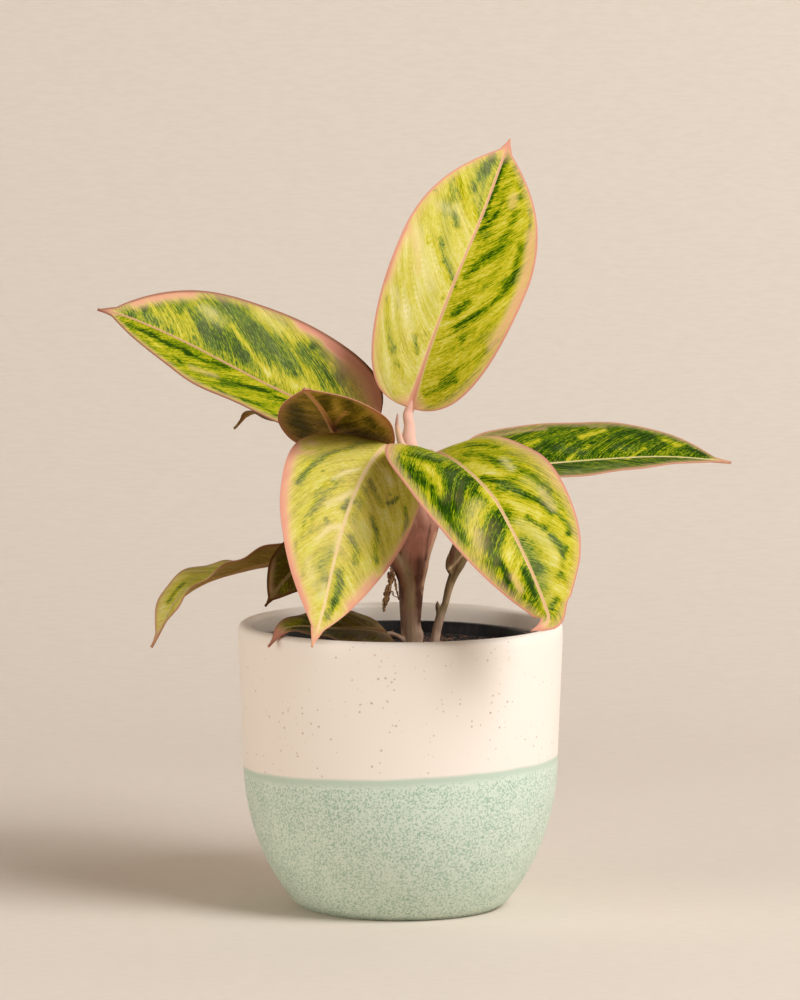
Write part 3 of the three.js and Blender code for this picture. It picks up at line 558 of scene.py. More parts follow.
def paintBlade(leaf, spot):
    # shares painted in: dark green, pink and cream, then bloom (painted sheen), brown (painted shade) and the pale side
    # veins
    along, far, left = spot["along"], spot["far"], spot["left"]
    here = np.stack([along, spot["hand"] * far], 1)
    share = {"dark": bySide(left, leaf["green"]), "cream": bySide(left, leaf["pale"]), "brown": leaf["brown"],
             "pink": 0, "paintedSheen": np.zeros(len(left))}
    for kind, marks in leaf["marks"].items():
        for radius, strength, *places in marks:
            share[kind] = share[kind] + strength * brushShare(here, radius, places)
    flare = blade["ribFlare"] * np.exp(-along / blade["flareLength"])
    ribReach = blade["ribWidth"] * (1 + flare - blade["ribNarrowing"] * along / spot["length"])
    rib = 1 - smoothStep(*zones["rib"], far / ribReach)
    margin, inner = (1 - smoothStep(*zones[zone], spot["edge"] / blade["marginWidth"]) for zone in ("margin", "inner"))
    tip = 1 - smoothStep(*zones["tip"], spot["length"] - along + zones["tipSlant"] * far)
    base = 1 - smoothStep(*zones["base"], along + zones["baseSlant"] * far)
    fading = smoothStep(*zones["ribPinkEnds"], along / spot["length"])
    ribPink = rib * (zones["ribPink"] + (leaf["ribPink"] - zones["ribPink"]) * fading)
    rim = np.maximum.reduce([margin, tip, ribPink, zones["basePink"] * base, zones["innerPink"] * inner])
    pink = np.clip(leaf["blush"] * rim + share["pink"], 0, 1)
    dark = share["dark"] * (1 - zones["ribClears"] * rib)
    # cream: partly the leaf's own pale pattern and rib, partly painted highlight from the cream marks
    cream = np.maximum(share["cream"], rib * zones["ribCream"])
    # brown: painted shade, from the leaf's brown share and marks and, along the pink margin and rib, from its rust
    # share
    brown = share["brown"] + leaf["rimShade"] * np.maximum(margin, zones["ribShade"] * rib)
    # the side veins show as thin pale lines between the bulges
    line = (1 - smoothStep(0, 0.3, spot["ridge"])) * smoothStep(0, 0.15, 1 - spot["across"])
    return np.stack([dark, pink, cream], 1), np.stack([share["paintedSheen"], brown, line], 1)


def makeBlade(name, leaf, materials):
    bpy.ops.object.select_all(action="DESELECT")
    bpy.ops.mesh.primitive_grid_add(x_subdivisions=blade["columns"], y_subdivisions=blade["rows"], size=2)
    piece = bpy.context.object
    mesh = piece.data
    u, s = readVertices(mesh, "co").T[:2]
    v = u - blade["crowding"] * np.sin(2 * np.pi * u)
    t = (s + 1) / 2
    point, spot = bladeSurface(leaf, t, v)
    mesh.vertices.foreach_set("co", (point * mm).ravel())
    mesh.update()
    # the rib stands out mostly below, so the sheet sinks there by part of what it thickens
    rib = np.exp(-(spot["far"] / blade["ribHalfWidth"]) ** 2) * (1 - blade["ribTaper"] * t)
    point = point - readVertices(mesh, "normal") * (rib * blade["ribSink"] * blade["ribThickness"])[:, None]
    mesh.vertices.foreach_set("co", (point * mm).ravel())
    thickness = blade["middleThickness"] + (blade["edgeThickness"] - blade["middleThickness"]) * spot["across"] ** 2
    thickness = thickness + rib * (blade["ribThickness"] - thickness)
    weights = piece.vertex_groups.new(name="thickness")
    for index, value in enumerate(thickness / blade["ribThickness"]):
        weights.add([index], float(value), "REPLACE")
    # each half of each leaf reads another part of the noise
    leafStep, leftStep = blade["noiseStep"]
    noisePlace = leaf["seed"] * leafStep + leftStep * spot["left"]
    paint, cast = paintBlade(leaf, spot)
    writeAttribute(mesh, "veinPlace", np.stack([spot["vein"], spot["far"], noisePlace], 1))
    writeAttribute(mesh, "paint", paint)
    writeAttribute(mesh, "cast", cast)
    for material in materials:
        mesh.materials.append(material)
    applyModifier(piece, "SOLIDIFY", thickness=blade["ribThickness"] * mm, offset=0, vertex_group="thickness",
                  material_offset=1, material_offset_rim=0)
    piece.vertex_groups.clear()
    finishPiece(piece, name, "leaf", leaf["node"])


# bloom: the colour of a painted sheen, where the waxy leaf reflects the light
upperLook = {
    "name": "leafUpperSide",
    "levels": [(0.0, "#e9dca2"), (0.15, "#d9cf76"), (0.3, "#cdc23a"), (0.45, "#beb01d"), (0.6, "#909806"),
               (0.72, "#668006"), (0.85, "#3e6004"), (1.0, "#213c04")],
    "cream": "#ecdca4", "peach": "#e6b988", "pink": "#dc9680", "paintedSheen": "#919c5c", "brown": "#573616",
    "roughness": 0.42, "gloss": 0.025,
}
underLook = {
    "name": "leafUnderside",
    "levels": [(0.0, "#c8a45c"), (0.3, "#ac8d3e"), (0.55, "#917728"), (0.8, "#6a5814"), (1.0, "#454010")],
    "cream": "#cdaa78", "peach": "#c08a56", "pink": "#b8704e", "paintedSheen": "#8c8858", "brown": "#6b4020",
    "roughness": 0.55, "gloss": 0.025,
}
# each pattern: mm across and along the side veins, its weight, and its reach in light and in dark parts
grain = {
    "blot": {"size": (7, 9), "weight": 0.7, "reach": (1, 1)},
    "streak": {"size": (1.1, 20), "weight": 1.15, "reach": (0.12, 1.1)},
    "dash": {"size": (0.45, 1.6), "weight": 1.5, "reach": (0.22, 1.15)},
    "veinLight": -0.14,
}


def leafMaterial(look):
    # living leaf: streaks run along the side veins, broken into short dashes by a finer grain
    material, tree = newMaterial(look["name"])
    place, paint, cast = (addNode(tree, "Attribute", attribute_name=name).outputs["Vector"]
                          for name in ("veinPlace", "paint", "cast"))
    dark, pink, cream = addNode(tree, "SeparateXYZ", {0: paint}).outputs
    paintedSheen, brown, veins = addNode(tree, "SeparateXYZ", {0: cast}).outputs
    level = addNode(tree, "Math", {0: veins, 1: grain["veinLight"], 2: dark}, operation="MULTIPLY_ADD")
    patterns = {}
    # dark parts are streaked and speckled, light ones nearly even
    for name in ("blot", "streak", "dash"):
        (wide, long), weight, reach = (grain[name][key] for key in ("size", "weight", "reach"))
        spread = addNode(tree, "VectorMath", {0: place, 1: (1 / wide, 1 / long, 1)}, operation="MULTIPLY")
        pattern = addNode(tree, "TexNoise", {"Vector": spread, "Scale": 1, "Detail": 1.5})
        swing = addNode(tree, "Math", {0: pattern, 1: weight, 2: -weight / 2}, operation="MULTIPLY_ADD")
        scale = addNode(tree, "MapRange", {"Value": level, "To Min": reach[0], "To Max": reach[1]})
        level = addNode(tree, "Math", {0: swing, 1: scale, 2: level}, operation="MULTIPLY_ADD")
        patterns[name] = pattern
    colour = addNode(tree, "ValToRGB", {"Fac": level})
    setRamp(colour, look["levels"])
    covers = []
    # the bloom cover lays painted sheen, broken up by the dashes; the cream cover is partly the leaf's own pale pattern
    # and partly painted highlight
    for pattern, low, high, start, end, share, tone in (("blot", 0.3, 0.6, 0.5, 1.3, cream, "cream"),
                                                        ("dash", 0.35, 0.65, 0.9, 0.4, paintedSheen, "paintedSheen")):
        swing = addNode(tree, "MapRange", {"Value": patterns[pattern], "From Min": low, "From Max": high,
                                           "To Min": start, "To Max": end})
        cover = addNode(tree, "Math", {0: swing, 1: share}, operation="MULTIPLY", use_clamp=True)
        covers.append((cover, toLinear(look[tone])))
    swing = addNode(tree, "Math", {0: patterns["blot"], 1: 0.3, 2: -0.15}, operation="MULTIPLY_ADD")
    share = addNode(tree, "Math", {0: pink, 1: swing}, operation="ADD", use_clamp=True)
    hue = addNode(tree, "MapRange", {"Value": share, "From Min": 0.45, "From Max": 0.95})
    tone = addNode(tree, "Mix", {0: hue, 6: toLinear(look["peach"]), 7: toLinear(look["pink"])}, data_type="RGBA")
    cover = addNode(tree, "MapRange", {"Value": share, "From Min": 0.05, "From Max": 0.75, "To Max": 0.96})
    # the brown cover lays painted shade over the leaf
    covers += [(cover, tone), (brown, toLinear(look["brown"]))]
    for share, tone in covers:
        colour = addNode(tree, "Mix", {0: share, 6: colour, 7: tone}, data_type="RGBA")
    bump = addNode(tree, "Bump", {"Strength": 0.35, "Distance": 0.12 * mm, "Height": patterns["dash"]})
    skin = addNode(tree, "BsdfPrincipled", {"Base Color": colour, "Roughness": look["roughness"],
                                            "Specular IOR Level": look["gloss"], "Normal": bump})
    addNode(tree, "OutputMaterial", {"Surface": skin})
    return material


leafMaterials = [leafMaterial(upperLook), leafMaterial(underLook)]
for leafName, leaf in leaves.items():
    makeBlade(leafName, leaf, leafMaterials)
print("leaves done")

# Cover pot

pot = {
    "height": 123.5, "rimRadius": 70, "bellyRadius": 68, "bellyHeight": 65, "footRadius": 44, "wall": 5.5,
    "floor": 8, "turns": 192, "straightRim": 8, "glazeLine": 64.1, "lineTilt": (2.5 / 68, -1.2 / 68),
    "footEdge": [(-2.2, 0), (-1, 0.35), (-0.1, 1.3)],  # from the foot's radius and the table
    # inside: the colour of painted light on the inner wall near the top
    "cream": "#eee2d5", "inside": "#fff2e2", "sage": "#d2dccb", "clearSage": "#bbcab7", "speckle": "#7fa58c",
    "brown": "#ab8356",
    # iron spots: cells and groups per mm, group detail, colour channel, range, size, edge and strength
    "spots": [(0.26, 0.05, 1, 0, (0.16, 0.55), 0.15, (-0.02, 0.05), 0.68),
              (0.42, 0.042, 2, 1, (0.24, 0.56), 0.28, (-0.02, 0.14), 0.6)],
}


def potRadius(z):
    if z >= pot["bellyHeight"]:
        share = min(1, (z - pot["bellyHeight"]) / (pot["height"] - pot["straightRim"] - pot["bellyHeight"]))
        return pot["bellyRadius"] + (pot["rimRadius"] - pot["bellyRadius"]) * share
    reach = pot["bellyHeight"] / math.sqrt(1 - (pot["footRadius"] / pot["bellyRadius"]) ** 2)
    return pot["bellyRadius"] * math.sqrt(1 - ((pot["bellyHeight"] - z) / reach) ** 2)


def spinSection(section, turns):
    # section: a closed loop of (radius, height) in mm, turned about the Z axis
    bpy.ops.object.select_all(action="DESELECT")
    bpy.ops.mesh.primitive_circle_add(vertices=len(section), radius=1, fill_type="NOTHING")
    piece = bpy.context.object
    for vertex, (r, z) in zip(piece.data.vertices, section):
        vertex.co = (r * mm, 0, z * mm)
    bpy.ops.object.mode_set(mode="EDIT")
    bpy.ops.mesh.select_all(action="SELECT")
    bpy.ops.mesh.spin(steps=turns, angle=2 * math.pi, center=(0, 0, 0), axis=(0, 0, 1))
    bpy.ops.object.mode_set(mode="OBJECT")
    mendSkin(piece)
    return piece


def makeCoverPot():
    height, wall, floor = pot["height"], pot["wall"], pot["floor"]
    section = [(0, 0), *((pot["footRadius"] + out, up) for out, up in pot["footEdge"])]
    section += [(potRadius(z), z) for z in np.linspace(2.4, height - 5, 56)]
    lip = wall / 2
    for angle in np.linspace(0, math.pi, 15)[1:-1]:
        section.append((pot["rimRadius"] - lip + lip * math.cos(angle), height - lip + lip * math.sin(angle)))
    section += [(potRadius(z) - wall, z) for z in np.linspace(height - 5, floor + 4, 36)]
    section += [(potRadius(floor) - wall - 1.2, floor + 1.6), (potRadius(floor) - wall - 5, floor), (0, floor)]
    piece = spinSection(section, pot["turns"])
    piece.data.materials.append(glazeMaterial())
    finishPiece(piece, "coverPot", "glazed_pot", "cover_pot")


def glazeMaterial():
    # stoneware dipped twice: satin cream glaze over a speckled sage one, with a clear rim where they meet
    material, tree = newMaterial("stonewareGlaze")
    place = addNode(tree, "TexCoord").outputs["Object"]
    inMm = addNode(tree, "VectorMath", {0: place, 1: (1000, 1000, 1000)}, operation="MULTIPLY")
    wobble = addNode(tree, "TexNoise", {"Vector": inMm, "Scale": 0.06, "Detail": 1})
    tiltX, tiltY = pot["lineTilt"]
    tilt = addNode(tree, "VectorMath", {0: inMm, 1: (-tiltX, -tiltY, 1)}, operation="DOT_PRODUCT")
    over = addNode(tree, "Math", {0: wobble, 1: 0.9, 2: -0.45 - pot["glazeLine"]}, operation="MULTIPLY_ADD")
    over = addNode(tree, "Math", {0: tilt, 1: over}, operation="ADD")
    # each reading of the height over the line: from, to and what it gives there
    creamShare, nearLine, clear, nearTop = (
        addNode(tree, "MapRange", {"Value": over, "From Min": low, "From Max": high, "To Max": top})
        for low, high, top in ((-0.9, 0.5, 1), (-5, -1.5, 0.2), (-4.4, -2.2, 1), (20, 30, 1)))
    # dark marks of about 0.7 mm, thinner just under the line
    marks = addNode(tree, "TexNoise", {"Vector": inMm, "Scale": 1.15, "Detail": 2, "Roughness": 0.55})
    clouds = addNode(tree, "TexNoise", {"Vector": inMm, "Scale": 0.09, "Detail": 2})
    cut = addNode(tree, "Math", {0: clouds, 1: -0.16, 2: 0.62}, operation="MULTIPLY_ADD")
    cut = addNode(tree, "Math", {0: cut, 1: nearLine}, operation="ADD")
    lift = addNode(tree, "Math", {0: marks, 1: cut}, operation="SUBTRACT")
    markShare = addNode(tree, "MapRange", {"Value": lift, "From Min": -0.09, "From Max": 0.11, "To Max": 0.8})
    # brown iron spots of under 1 mm in the cream, in loose groups, with fainter ones between them
    spotShares = []
    for cellScale, groupScale, detail, channel, (low, high), widest, (edge, core), strength in pot["spots"]:
        cells = addNode(tree, "TexVoronoi", {"Vector": inMm, "Scale": cellScale, "Randomness": 1})
        groups = addNode(tree, "TexNoise", {"Vector": inMm, "Scale": groupScale, "Detail": detail})
        chance = addNode(tree, "SeparateColor", {0: cells.outputs["Color"]}).outputs[channel]
        size = addNode(tree, "Math", {0: chance, 1: groups}, operation="MULTIPLY")
        size = addNode(tree, "MapRange", {"Value": size, "From Min": low, "From Max": high, "To Max": widest})
        inside = addNode(tree, "Math", {0: size, 1: cells.outputs["Distance"]}, operation="SUBTRACT")
        spotShares.append(addNode(tree, "MapRange", {"Value": inside, "From Min": edge, "From Max": core,
                                                     "To Max": strength}))
    spotShare = addNode(tree, "Math", dict(enumerate(spotShares)), operation="MAXIMUM")
    # painted light: the inside near the top is painted whiter and warmer than the cream, standing in for light that
    # reaches the inner wall
    flat = addNode(tree, "VectorMath", {0: inMm, 1: (1, 1, 0)}, operation="MULTIPLY")
    fromAxis = addNode(tree, "VectorMath", {0: flat}, operation="LENGTH")
    insideLightShare = addNode(tree, "MapRange", {"Value": fromAxis, "From Min": 68.5, "From Max": 65.5})
    insideLightShare = addNode(tree, "Math", {0: insideLightShare, 1: nearTop}, operation="MULTIPLY")
    sage, cream = toLinear(pot["sage"]), toLinear(pot["cream"])
    for share, tone in ((clear, "clearSage"), (markShare, "speckle")):
        sage = addNode(tree, "Mix", {0: share, 6: sage, 7: toLinear(pot[tone])}, data_type="RGBA")
    for share, tone in ((spotShare, "brown"), (insideLightShare, "inside")):
        cream = addNode(tree, "Mix", {0: share, 6: cream, 7: toLinear(pot[tone])}, data_type="RGBA")
    colour = addNode(tree, "Mix", {0: creamShare, 6: sage, 7: cream}, data_type="RGBA")
    step = addNode(tree, "Math", {0: creamShare, 1: 0.15}, operation="MULTIPLY")
    bump = addNode(tree, "Bump", {"Strength": 0.5, "Distance": 0.4 * mm, "Height": step})
    glaze = addNode(tree, "BsdfPrincipled", {"Base Color": colour, "Roughness": 0.42, "IOR": 1.5, "Normal": bump})
    addNode(tree, "OutputMaterial", {"Surface": glaze})
    return material


makeCoverPot()
print("cover pot done")

# Nursery pot and soil

nursery = {
    "rimRadius": 60, "lip": 2.6, "baseRadius": 39, "top": 116.5, "wall": 1.4, "base": 8.3, "turns": 128,
    "holes": 5, "holeRadius": 4, "holeRing": 26, "colour": "#11100f", "rubbed": "#4a4642",
}


def nurseryRadius(z):
    share = (z - nursery["base"]) / (nursery["top"] - nursery["base"])
    return nursery["baseRadius"] + (nursery["rimRadius"] - nursery["lip"] - nursery["baseRadius"]) * share


def makeNurseryPot():
    base, top, wall, rim = (nursery[key] for key in ("base", "top", "wall", "rimRadius"))
    outside = [(nurseryRadius(z), z) for z in np.linspace(base + 1, top - 6, 12)]
    rolled = [(rim - 0.3, top - 6), (rim, top - 5.6), (rim, top - 0.6), (rim - 0.6, top),
              (nurseryRadius(top) - wall + 0.4, top), (nurseryRadius(top) - wall, top - 0.5)]
    inside = [(nurseryRadius(z) - wall, z) for z in np.linspace(top - 4, base + 2, 12)]
    section = [(0, base), (nurseryRadius(base) - 1, base), *outside, *rolled, *inside, (0, base + 2)]
    piece = spinSection(section, nursery["turns"])
    ring = nursery["holeRing"] * mm
    for k in range(nursery["holes"]):
        angle = 2 * math.pi * k / nursery["holes"]
        bpy.ops.object.select_all(action="DESELECT")
        bpy.ops.mesh.primitive_cylinder_add(vertices=24, radius=nursery["holeRadius"] * mm, depth=0.01,
                                            location=(ring * math.cos(angle), ring * math.sin(angle), base * mm))
        drill = bpy.context.object
        applyModifier(piece, "BOOLEAN", operation="DIFFERENCE", object=drill, solver="EXACT")
        bpy.data.objects.remove(drill)
    piece.data.materials.append(plasticMaterial())
    finishPiece(piece, "nurseryPot", "black_plastic", "nursery_pot")
    bpy.ops.object.shade_smooth_by_angle(angle=math.radians(40))


def plasticMaterial():
    # thin thermoformed polypropylene: satin, with paler rubs that run down the wall
    material, tree = newMaterial("blackPolypropylene")
    place = addNode(tree, "TexCoord").outputs["Object"]
    stretched = addNode(tree, "VectorMath", {0: place, 1: (260, 260, 60)}, operation="MULTIPLY")
    rubs = addNode(tree, "TexNoise", {"Vector": stretched, "Scale": 1, "Detail": 4})
    share = addNode(tree, "MapRange", {"Value": rubs, "From Min": 0.52, "From Max": 0.75, "To Max": 0.3})
    colour = addNode(tree, "Mix", {0: share, 6: toLinear(nursery["colour"]), 7: toLinear(nursery["rubbed"])},
                     data_type="RGBA")
    gloss = addNode(tree, "MapRange", {"Value": rubs, "To Min": 0.35, "To Max": 0.6})
    plastic = addNode(tree, "BsdfPrincipled", {"Base Color": colour, "Roughness": gloss, "Specular IOR Level": 0.25})
    addNode(tree, "OutputMaterial", {"Surface": plastic})
    return material


soil = {
    "top": 111.5, "aboveBase": 2.3, "wallGap": 0.6, "rings": 46, "turns": 150,
    "lump": 1.3, "lumps": [(0.09, 1, 3), (0.35, 0.55, 9), (0.9, 0.3, 15)],  # bumps per mm, share, place in the noise
    "seed": 41, "chips": 1100, "chipSize": (0.7, 2.6), "chipShape": [(0.6, 1), (0.3, 0.7), (0.2, 0.5)],
    "chipHeight": (-0.4, 0.7), "jag": (0.75, 1.2), "dark": "#130c09", "brown": "#4d3020", "bark": "#86542f",
}


def soilRadius(z):
    return nurseryRadius(z) - nursery["wall"] - soil["wallGap"]


def makeSoil():
    bottom, top = nursery["base"] + soil["aboveBase"], soil["top"]
    section = [(0, bottom), *((soilRadius(z), z) for z in (bottom, 60, top - 2))]
    section += [(soilRadius(top) * share, top) for share in np.linspace(0.995, 0, soil["rings"])]
    piece = spinSection(section, soil["turns"])
    mesh = piece.data
    for vertex in mesh.vertices:
        x, y, z = vertex.co / mm
        if z > top - 1:
            rough = sum(share * noise.noise(Vector((x * often, y * often, at))) for often, share, at in soil["lumps"])
            vertex.co.z += soil["lump"] * rough * mm
    dirt = soilMaterial()
    mesh.materials.append(dirt)
    finishPiece(piece, "pottingSoil", "soil", "potting_soil")
    # bark crumbs and fibre, pressed half into the soil
    bpy.ops.object.select_all(action="DESELECT")
    bpy.ops.mesh.primitive_ico_sphere_add(subdivisions=1, radius=1)
    crumb = bpy.context.object
    crumbs = bmesh.new()
    draw = random.Random(soil["seed"])
    smallest, largest = soil["chipSize"]
    for k in range(soil["chips"]):
        radius = (soilRadius(top) - 2) * math.sqrt(draw.random())
        angle = draw.uniform(0, 2 * math.pi)
        size = draw.uniform(0, 1) ** 2.5 * (largest - smallest) + smallest
        stretch = [size * draw.uniform(*shape) for shape in soil["chipShape"]]
        at = Vector((radius * math.cos(angle), radius * math.sin(angle), top + draw.uniform(*soil["chipHeight"])))
        turn = Matrix.Rotation(draw.uniform(0, 6.28), 4, "Z") @ Matrix.Rotation(draw.gauss(0, 0.5), 4, "X")
        first = len(crumbs.verts)
        crumbs.from_mesh(crumb.data)
        crumbs.verts.ensure_lookup_table()
        for vertex in crumbs.verts[first:]:
            jag = vertex.co * draw.uniform(*soil["jag"])
            vertex.co = (turn @ Vector([a * b for a, b in zip(jag, stretch)]) + at) * mm
    crumbs.to_mesh(crumb.data)
    crumbs.free()
    crumb.data.materials.append(dirt)
    finishPiece(crumb, "barkCrumbs", "soil")
    bpy.ops.object.shade_flat()


def soilMaterial():
    # moist peat with bark: almost black, each crumb its own brown
    material, tree = newMaterial("peatAndBark")
    place = addNode(tree, "TexCoord").outputs["Object"]
    grains = addNode(tree, "TexVoronoi", {"Vector": place, "Scale": 600})
    chance = addNode(tree, "SeparateColor", {0: grains.outputs["Color"]})
    colour = addNode(tree, "ValToRGB", {"Fac": chance})
    setRamp(colour, [(0.0, soil["dark"]), (0.62, soil["dark"]), (0.82, soil["brown"]), (1.0, soil["bark"])])
    rough = addNode(tree, "TexNoise", {"Vector": place, "Scale": 900, "Detail": 3})
    bump = addNode(tree, "Bump", {"Strength": 0.8, "Distance": 0.6 * mm, "Height": rough})
    dirt = addNode(tree, "BsdfPrincipled", {"Base Color": colour, "Roughness": 0.9, "Normal": bump})
    addNode(tree, "OutputMaterial", {"Surface": dirt})
    return material


makeNurseryPot()
makeSoil()
print("nursery pot and soil done")

# Stems

# points of a tube: x, y, z and radius in mm
stems = {
    "voxel": 0.4, "smoothing": 5,
    "cane": [
        (4.8, 0, 97, 4.7), (4.8, 0, 116, 4.6), (4.4, 0, 124, 4.5), (4.6, 0, 137, 5.5), (4.8, 0, 142, 6),
        (5.6, 0, 148, 6.6), (6.2, 0.3, 153, 6.9), (8.5, 1, 159, 6.4), (11, 2, 165, 5.7), (12.6, 4.5, 175, 5),
        (10.5, 8.5, 186, 3.9),
    ],
    "swelling": [(6.4, -1, 122, 1.8), (7.3, -1.2, 118.4, 2.7), (6.6, -1, 114, 3)],
    "rolledTip": [
        (6, 11, 186, 2.2), (2.2, 13, 195, 2), (-0.2, 14, 201, 1.5), (-1.5, 14.6, 207, 1.05), (-1.2, 15, 212.6, 0.4),
    ],
    "nub": [(16.7, 8, 126, 1.3), (16, 8, 129.4, 1), (16.1, 8, 131.6, 0.4)],
    "flap": [
        (21.6, 6.4, 143.6, 0.8), (20.6, 5.4, 146.4, 1.2), (20.9, 5, 149.5, 1.3), (22.3, 5.2, 153, 1.3),
        (23.8, 6, 157.5, 1),
    ],
    "flapInside": [(22.3, 7.2, 145, 1.4), (22.8, 7, 149, 2.2), (24.4, 7.5, 155, 2.2)],
    "withered": [
        (-4.2, -5, 147.5, 0.5), (-3.5, -5.4, 144, 1.2), (-4.2, -5.6, 141, 0.7), (-5.3, -5.9, 138, 1.5),
        (-6.4, -6.2, 133.2, 1.2), (-7.4, -6.5, 128.8, 0.5),
    ],
    "threads": [
        [(-4.2, -5, 147.5, 0.4), (-2.9, -5.2, 144, 0.5), (-1.6, -5.2, 138, 0.4), (-0.6, -5.2, 133.6, 0.25)],
        [(-3.9, -5.5, 137.6, 0.22), (-2.4, -6, 135.3, 0.2), (-0.8, -5.2, 134.8, 0.22)],
        [(-5.2, -5.6, 146, 0.3), (-4.9, -6, 142.5, 0.6), (-4, -5.6, 140, 0.3)],
    ],
    # how a stalk ends under its leaf: mm along the rib and below it, share of its radius
    "underRib": [(-3, 0.1, 0.93), (0, 0.6, 0.8), (5, 1.3, 0.5)],
    "crumple": 0.8, "crumpleScale": 0.9,
}
# from the cane, or from the soil for the shoot that bears the right leaf
stalks = {
    "leafUpright": [(12, 6, 181, 3.8), (7.5, 12, 191, 3.7), (3.7, 19, 199.5, 3.3), (3.9, 23, 206, 2.4)],
    "leafLeft": [(10.5, 8, 180, 2.8), (3, 19, 192, 2.1)],
    "leafFrontHigh": [(9, 2, 172, 2.6), (-5, 2.5, 184.8, 2.3), (-17, 5.8, 194.3, 2)],
    "leafFrontLeft": [(10, -1, 164, 2.8), (6, -6, 180, 2.2)],
    "leafFrontRight": [(12.5, 2, 170, 2.8), (13.5, -5, 185, 2.2)],
    "leafLowLeft": [(4, -0.5, 134, 3), (-0.6, -1, 147, 2.8), (-16, 10, 156, 2)],
    "leafLowShaded": [(3.7, -1.5, 137.5, 3.4), (-0.6, -2.5, 148.5, 3.2), (-8, -1, 158, 2)],
    "leafInPot": [(2.5, -1.5, 113.5, 1.5), (0, -4, 117, 1.1)],
    "leafBackLeft": [(8, 6, 170, 2.4), (-1, 13, 182, 1.8)],
    "leafRight": [
        (13.4, 8, 97, 2), (14.8, 8, 112, 2), (15.4, 8, 117, 2), (17.3, 8, 125, 2), (19.2, 8, 130, 1.5),
        (21, 8, 137.4, 1.8), (22.9, 8, 142.8, 2.1), (24.4, 8, 146.5, 2.9), (25.8, 8.3, 150.5, 3.6),
        (27, 9, 156, 3.6), (29, 11, 170.9, 2.2),
    ],
}
# levels: colour by height in mm; marks by kind: radius, strength, then places (x, z) in mm
stalkLooks = {
    "mainStem": {
        "name": "stalkSkin",
        "levels": [
            (112, "#b0937a"), (124, "#977761"), (138, "#7e533c"), (150, "#83503b"), (163, "#9a6450"),
            (180, "#d09b84"), (196, "#e4b7a1"), (212, "#e9b4a1"),
        ],
        "marks": {
            "dark": [
                (1.5, 0.75, (7.2, 143), (7.9, 136), (8, 129), (8.3, 124)), (2.6, 0.85, (8.4, 150), (8.6, 144.5)),
                (1, 0.45, (0.2, 122), (-0.4, 136), (-1.7, 143.6), (-4, 148.5)),
                # the second mark on this line is painted shade: the notch under the bract, drawn dark in place of a cut
                (0.45, 0.7, (13, 166), (11.7, 159.6), (10.8, 151)), (1.1, 1, (7.8, 136), (8.7, 133.5), (8.5, 130.6)),
                (0.9, 0.45, (-1.2, 212.5), (-1.7, 208)),
            ],
            "olive": [
                (2.2, 0.35, (5, 112), (4.6, 124)),
                (2.3, 0.75, (4.5, 131), (4.5, 139), (3.2, 146), (0.3, 151.5), (-3.4, 157)),
            ],
            "pale": [
                # painted highlights: this mark runs down the lit right edge of the sheath, and the next line's first
                # mark lies on the ridge by the notch; the next line's last mark is the spike's own cream stripe
                (0.9, 0.5, (15.2, 162), (13, 154.5), (11, 146.6), (9.9, 140)),
                (0.45, 0.8, (9.4, 136.8), (9.9, 133), (9.4, 128.8)), (1.1, 0.9, (-1.5, 206), (-0.4, 200), (0.6, 196)),
            ],
        },
    },
    "sideShoot": {
        "name": "shootSkin",
        "levels": [
            (112, "#c3a38d"), (122, "#b2937b"), (128, "#7f6c4c"), (142, "#77633f"), (156, "#6f5939"),
            (175, "#8a7444"),
        ],
        "marks": {
            "dark": [
                (1.3, 0.9, (21.4, 148.5), (22.7, 153), (24.2, 158)),
                (0.5, 0.45, (22.6, 141), (24, 146), (26.6, 150.5)), (0.8, 0.6, (15.8, 128.5), (16, 132)),
            ],
            "pale": [
                (0.5, 0.6, (20, 145.2), (22.6, 147), (25, 149.7), (27.5, 153)), (0.8, 0.35, (22.5, 139), (20.4, 131)),
            ],
        },
    },
}
stalkTones = {"dark": "#4a2716", "olive": "#8a7650", "pale": "#d2ab86"}
witheredLevels = [(0.3, "#2c170a"), (0.45, "#6b4524"), (0.58, "#a47c4c"), (0.72, "#d6b98c")]


def stalkToBlade(leafName):
    # the stalk runs on under the rib for a little way
    (place,), (heading,) = smoothLine(leaves[leafName]["midrib"], np.zeros(1))[:2]
    facing = np.array(leaves[leafName]["faces"][0], float)
    up = unit(facing - heading * (facing @ heading))
    points = stalks[leafName]
    radius = points[-1][3]
    return points + [(*(place + heading * on - up * under), radius * thin) for on, under, thin in stems["underRib"]]


def makeTube(points, steps):
    shares = np.linspace(0, 1, steps)
    rows = np.array(points, float)
    places = smoothLine(rows[:, :3], shares)[0]
    run = np.concatenate([[0], np.cumsum(np.linalg.norm(np.diff(rows[:, :3], axis=0), axis=1))])
    widths = np.interp(shares, run / run[-1], rows[:, 3])
    bpy.ops.object.select_all(action="DESELECT")
    bpy.ops.curve.primitive_nurbs_path_add()
    curve = bpy.context.object.data
    curve.splines.clear()
    line = curve.splines.new("POLY")
    line.points.add(steps - 1)
    for point, place, width in zip(line.points, places, widths):
        point.co = (*(place * mm), 1)
        point.radius = width
    curve.dimensions = "3D"
    curve.bevel_depth = mm
    curve.bevel_resolution = 5
    curve.use_fill_caps = True
    bpy.ops.object.convert(target="MESH")
    piece = bpy.context.object
    mendSkin(piece)
    return piece


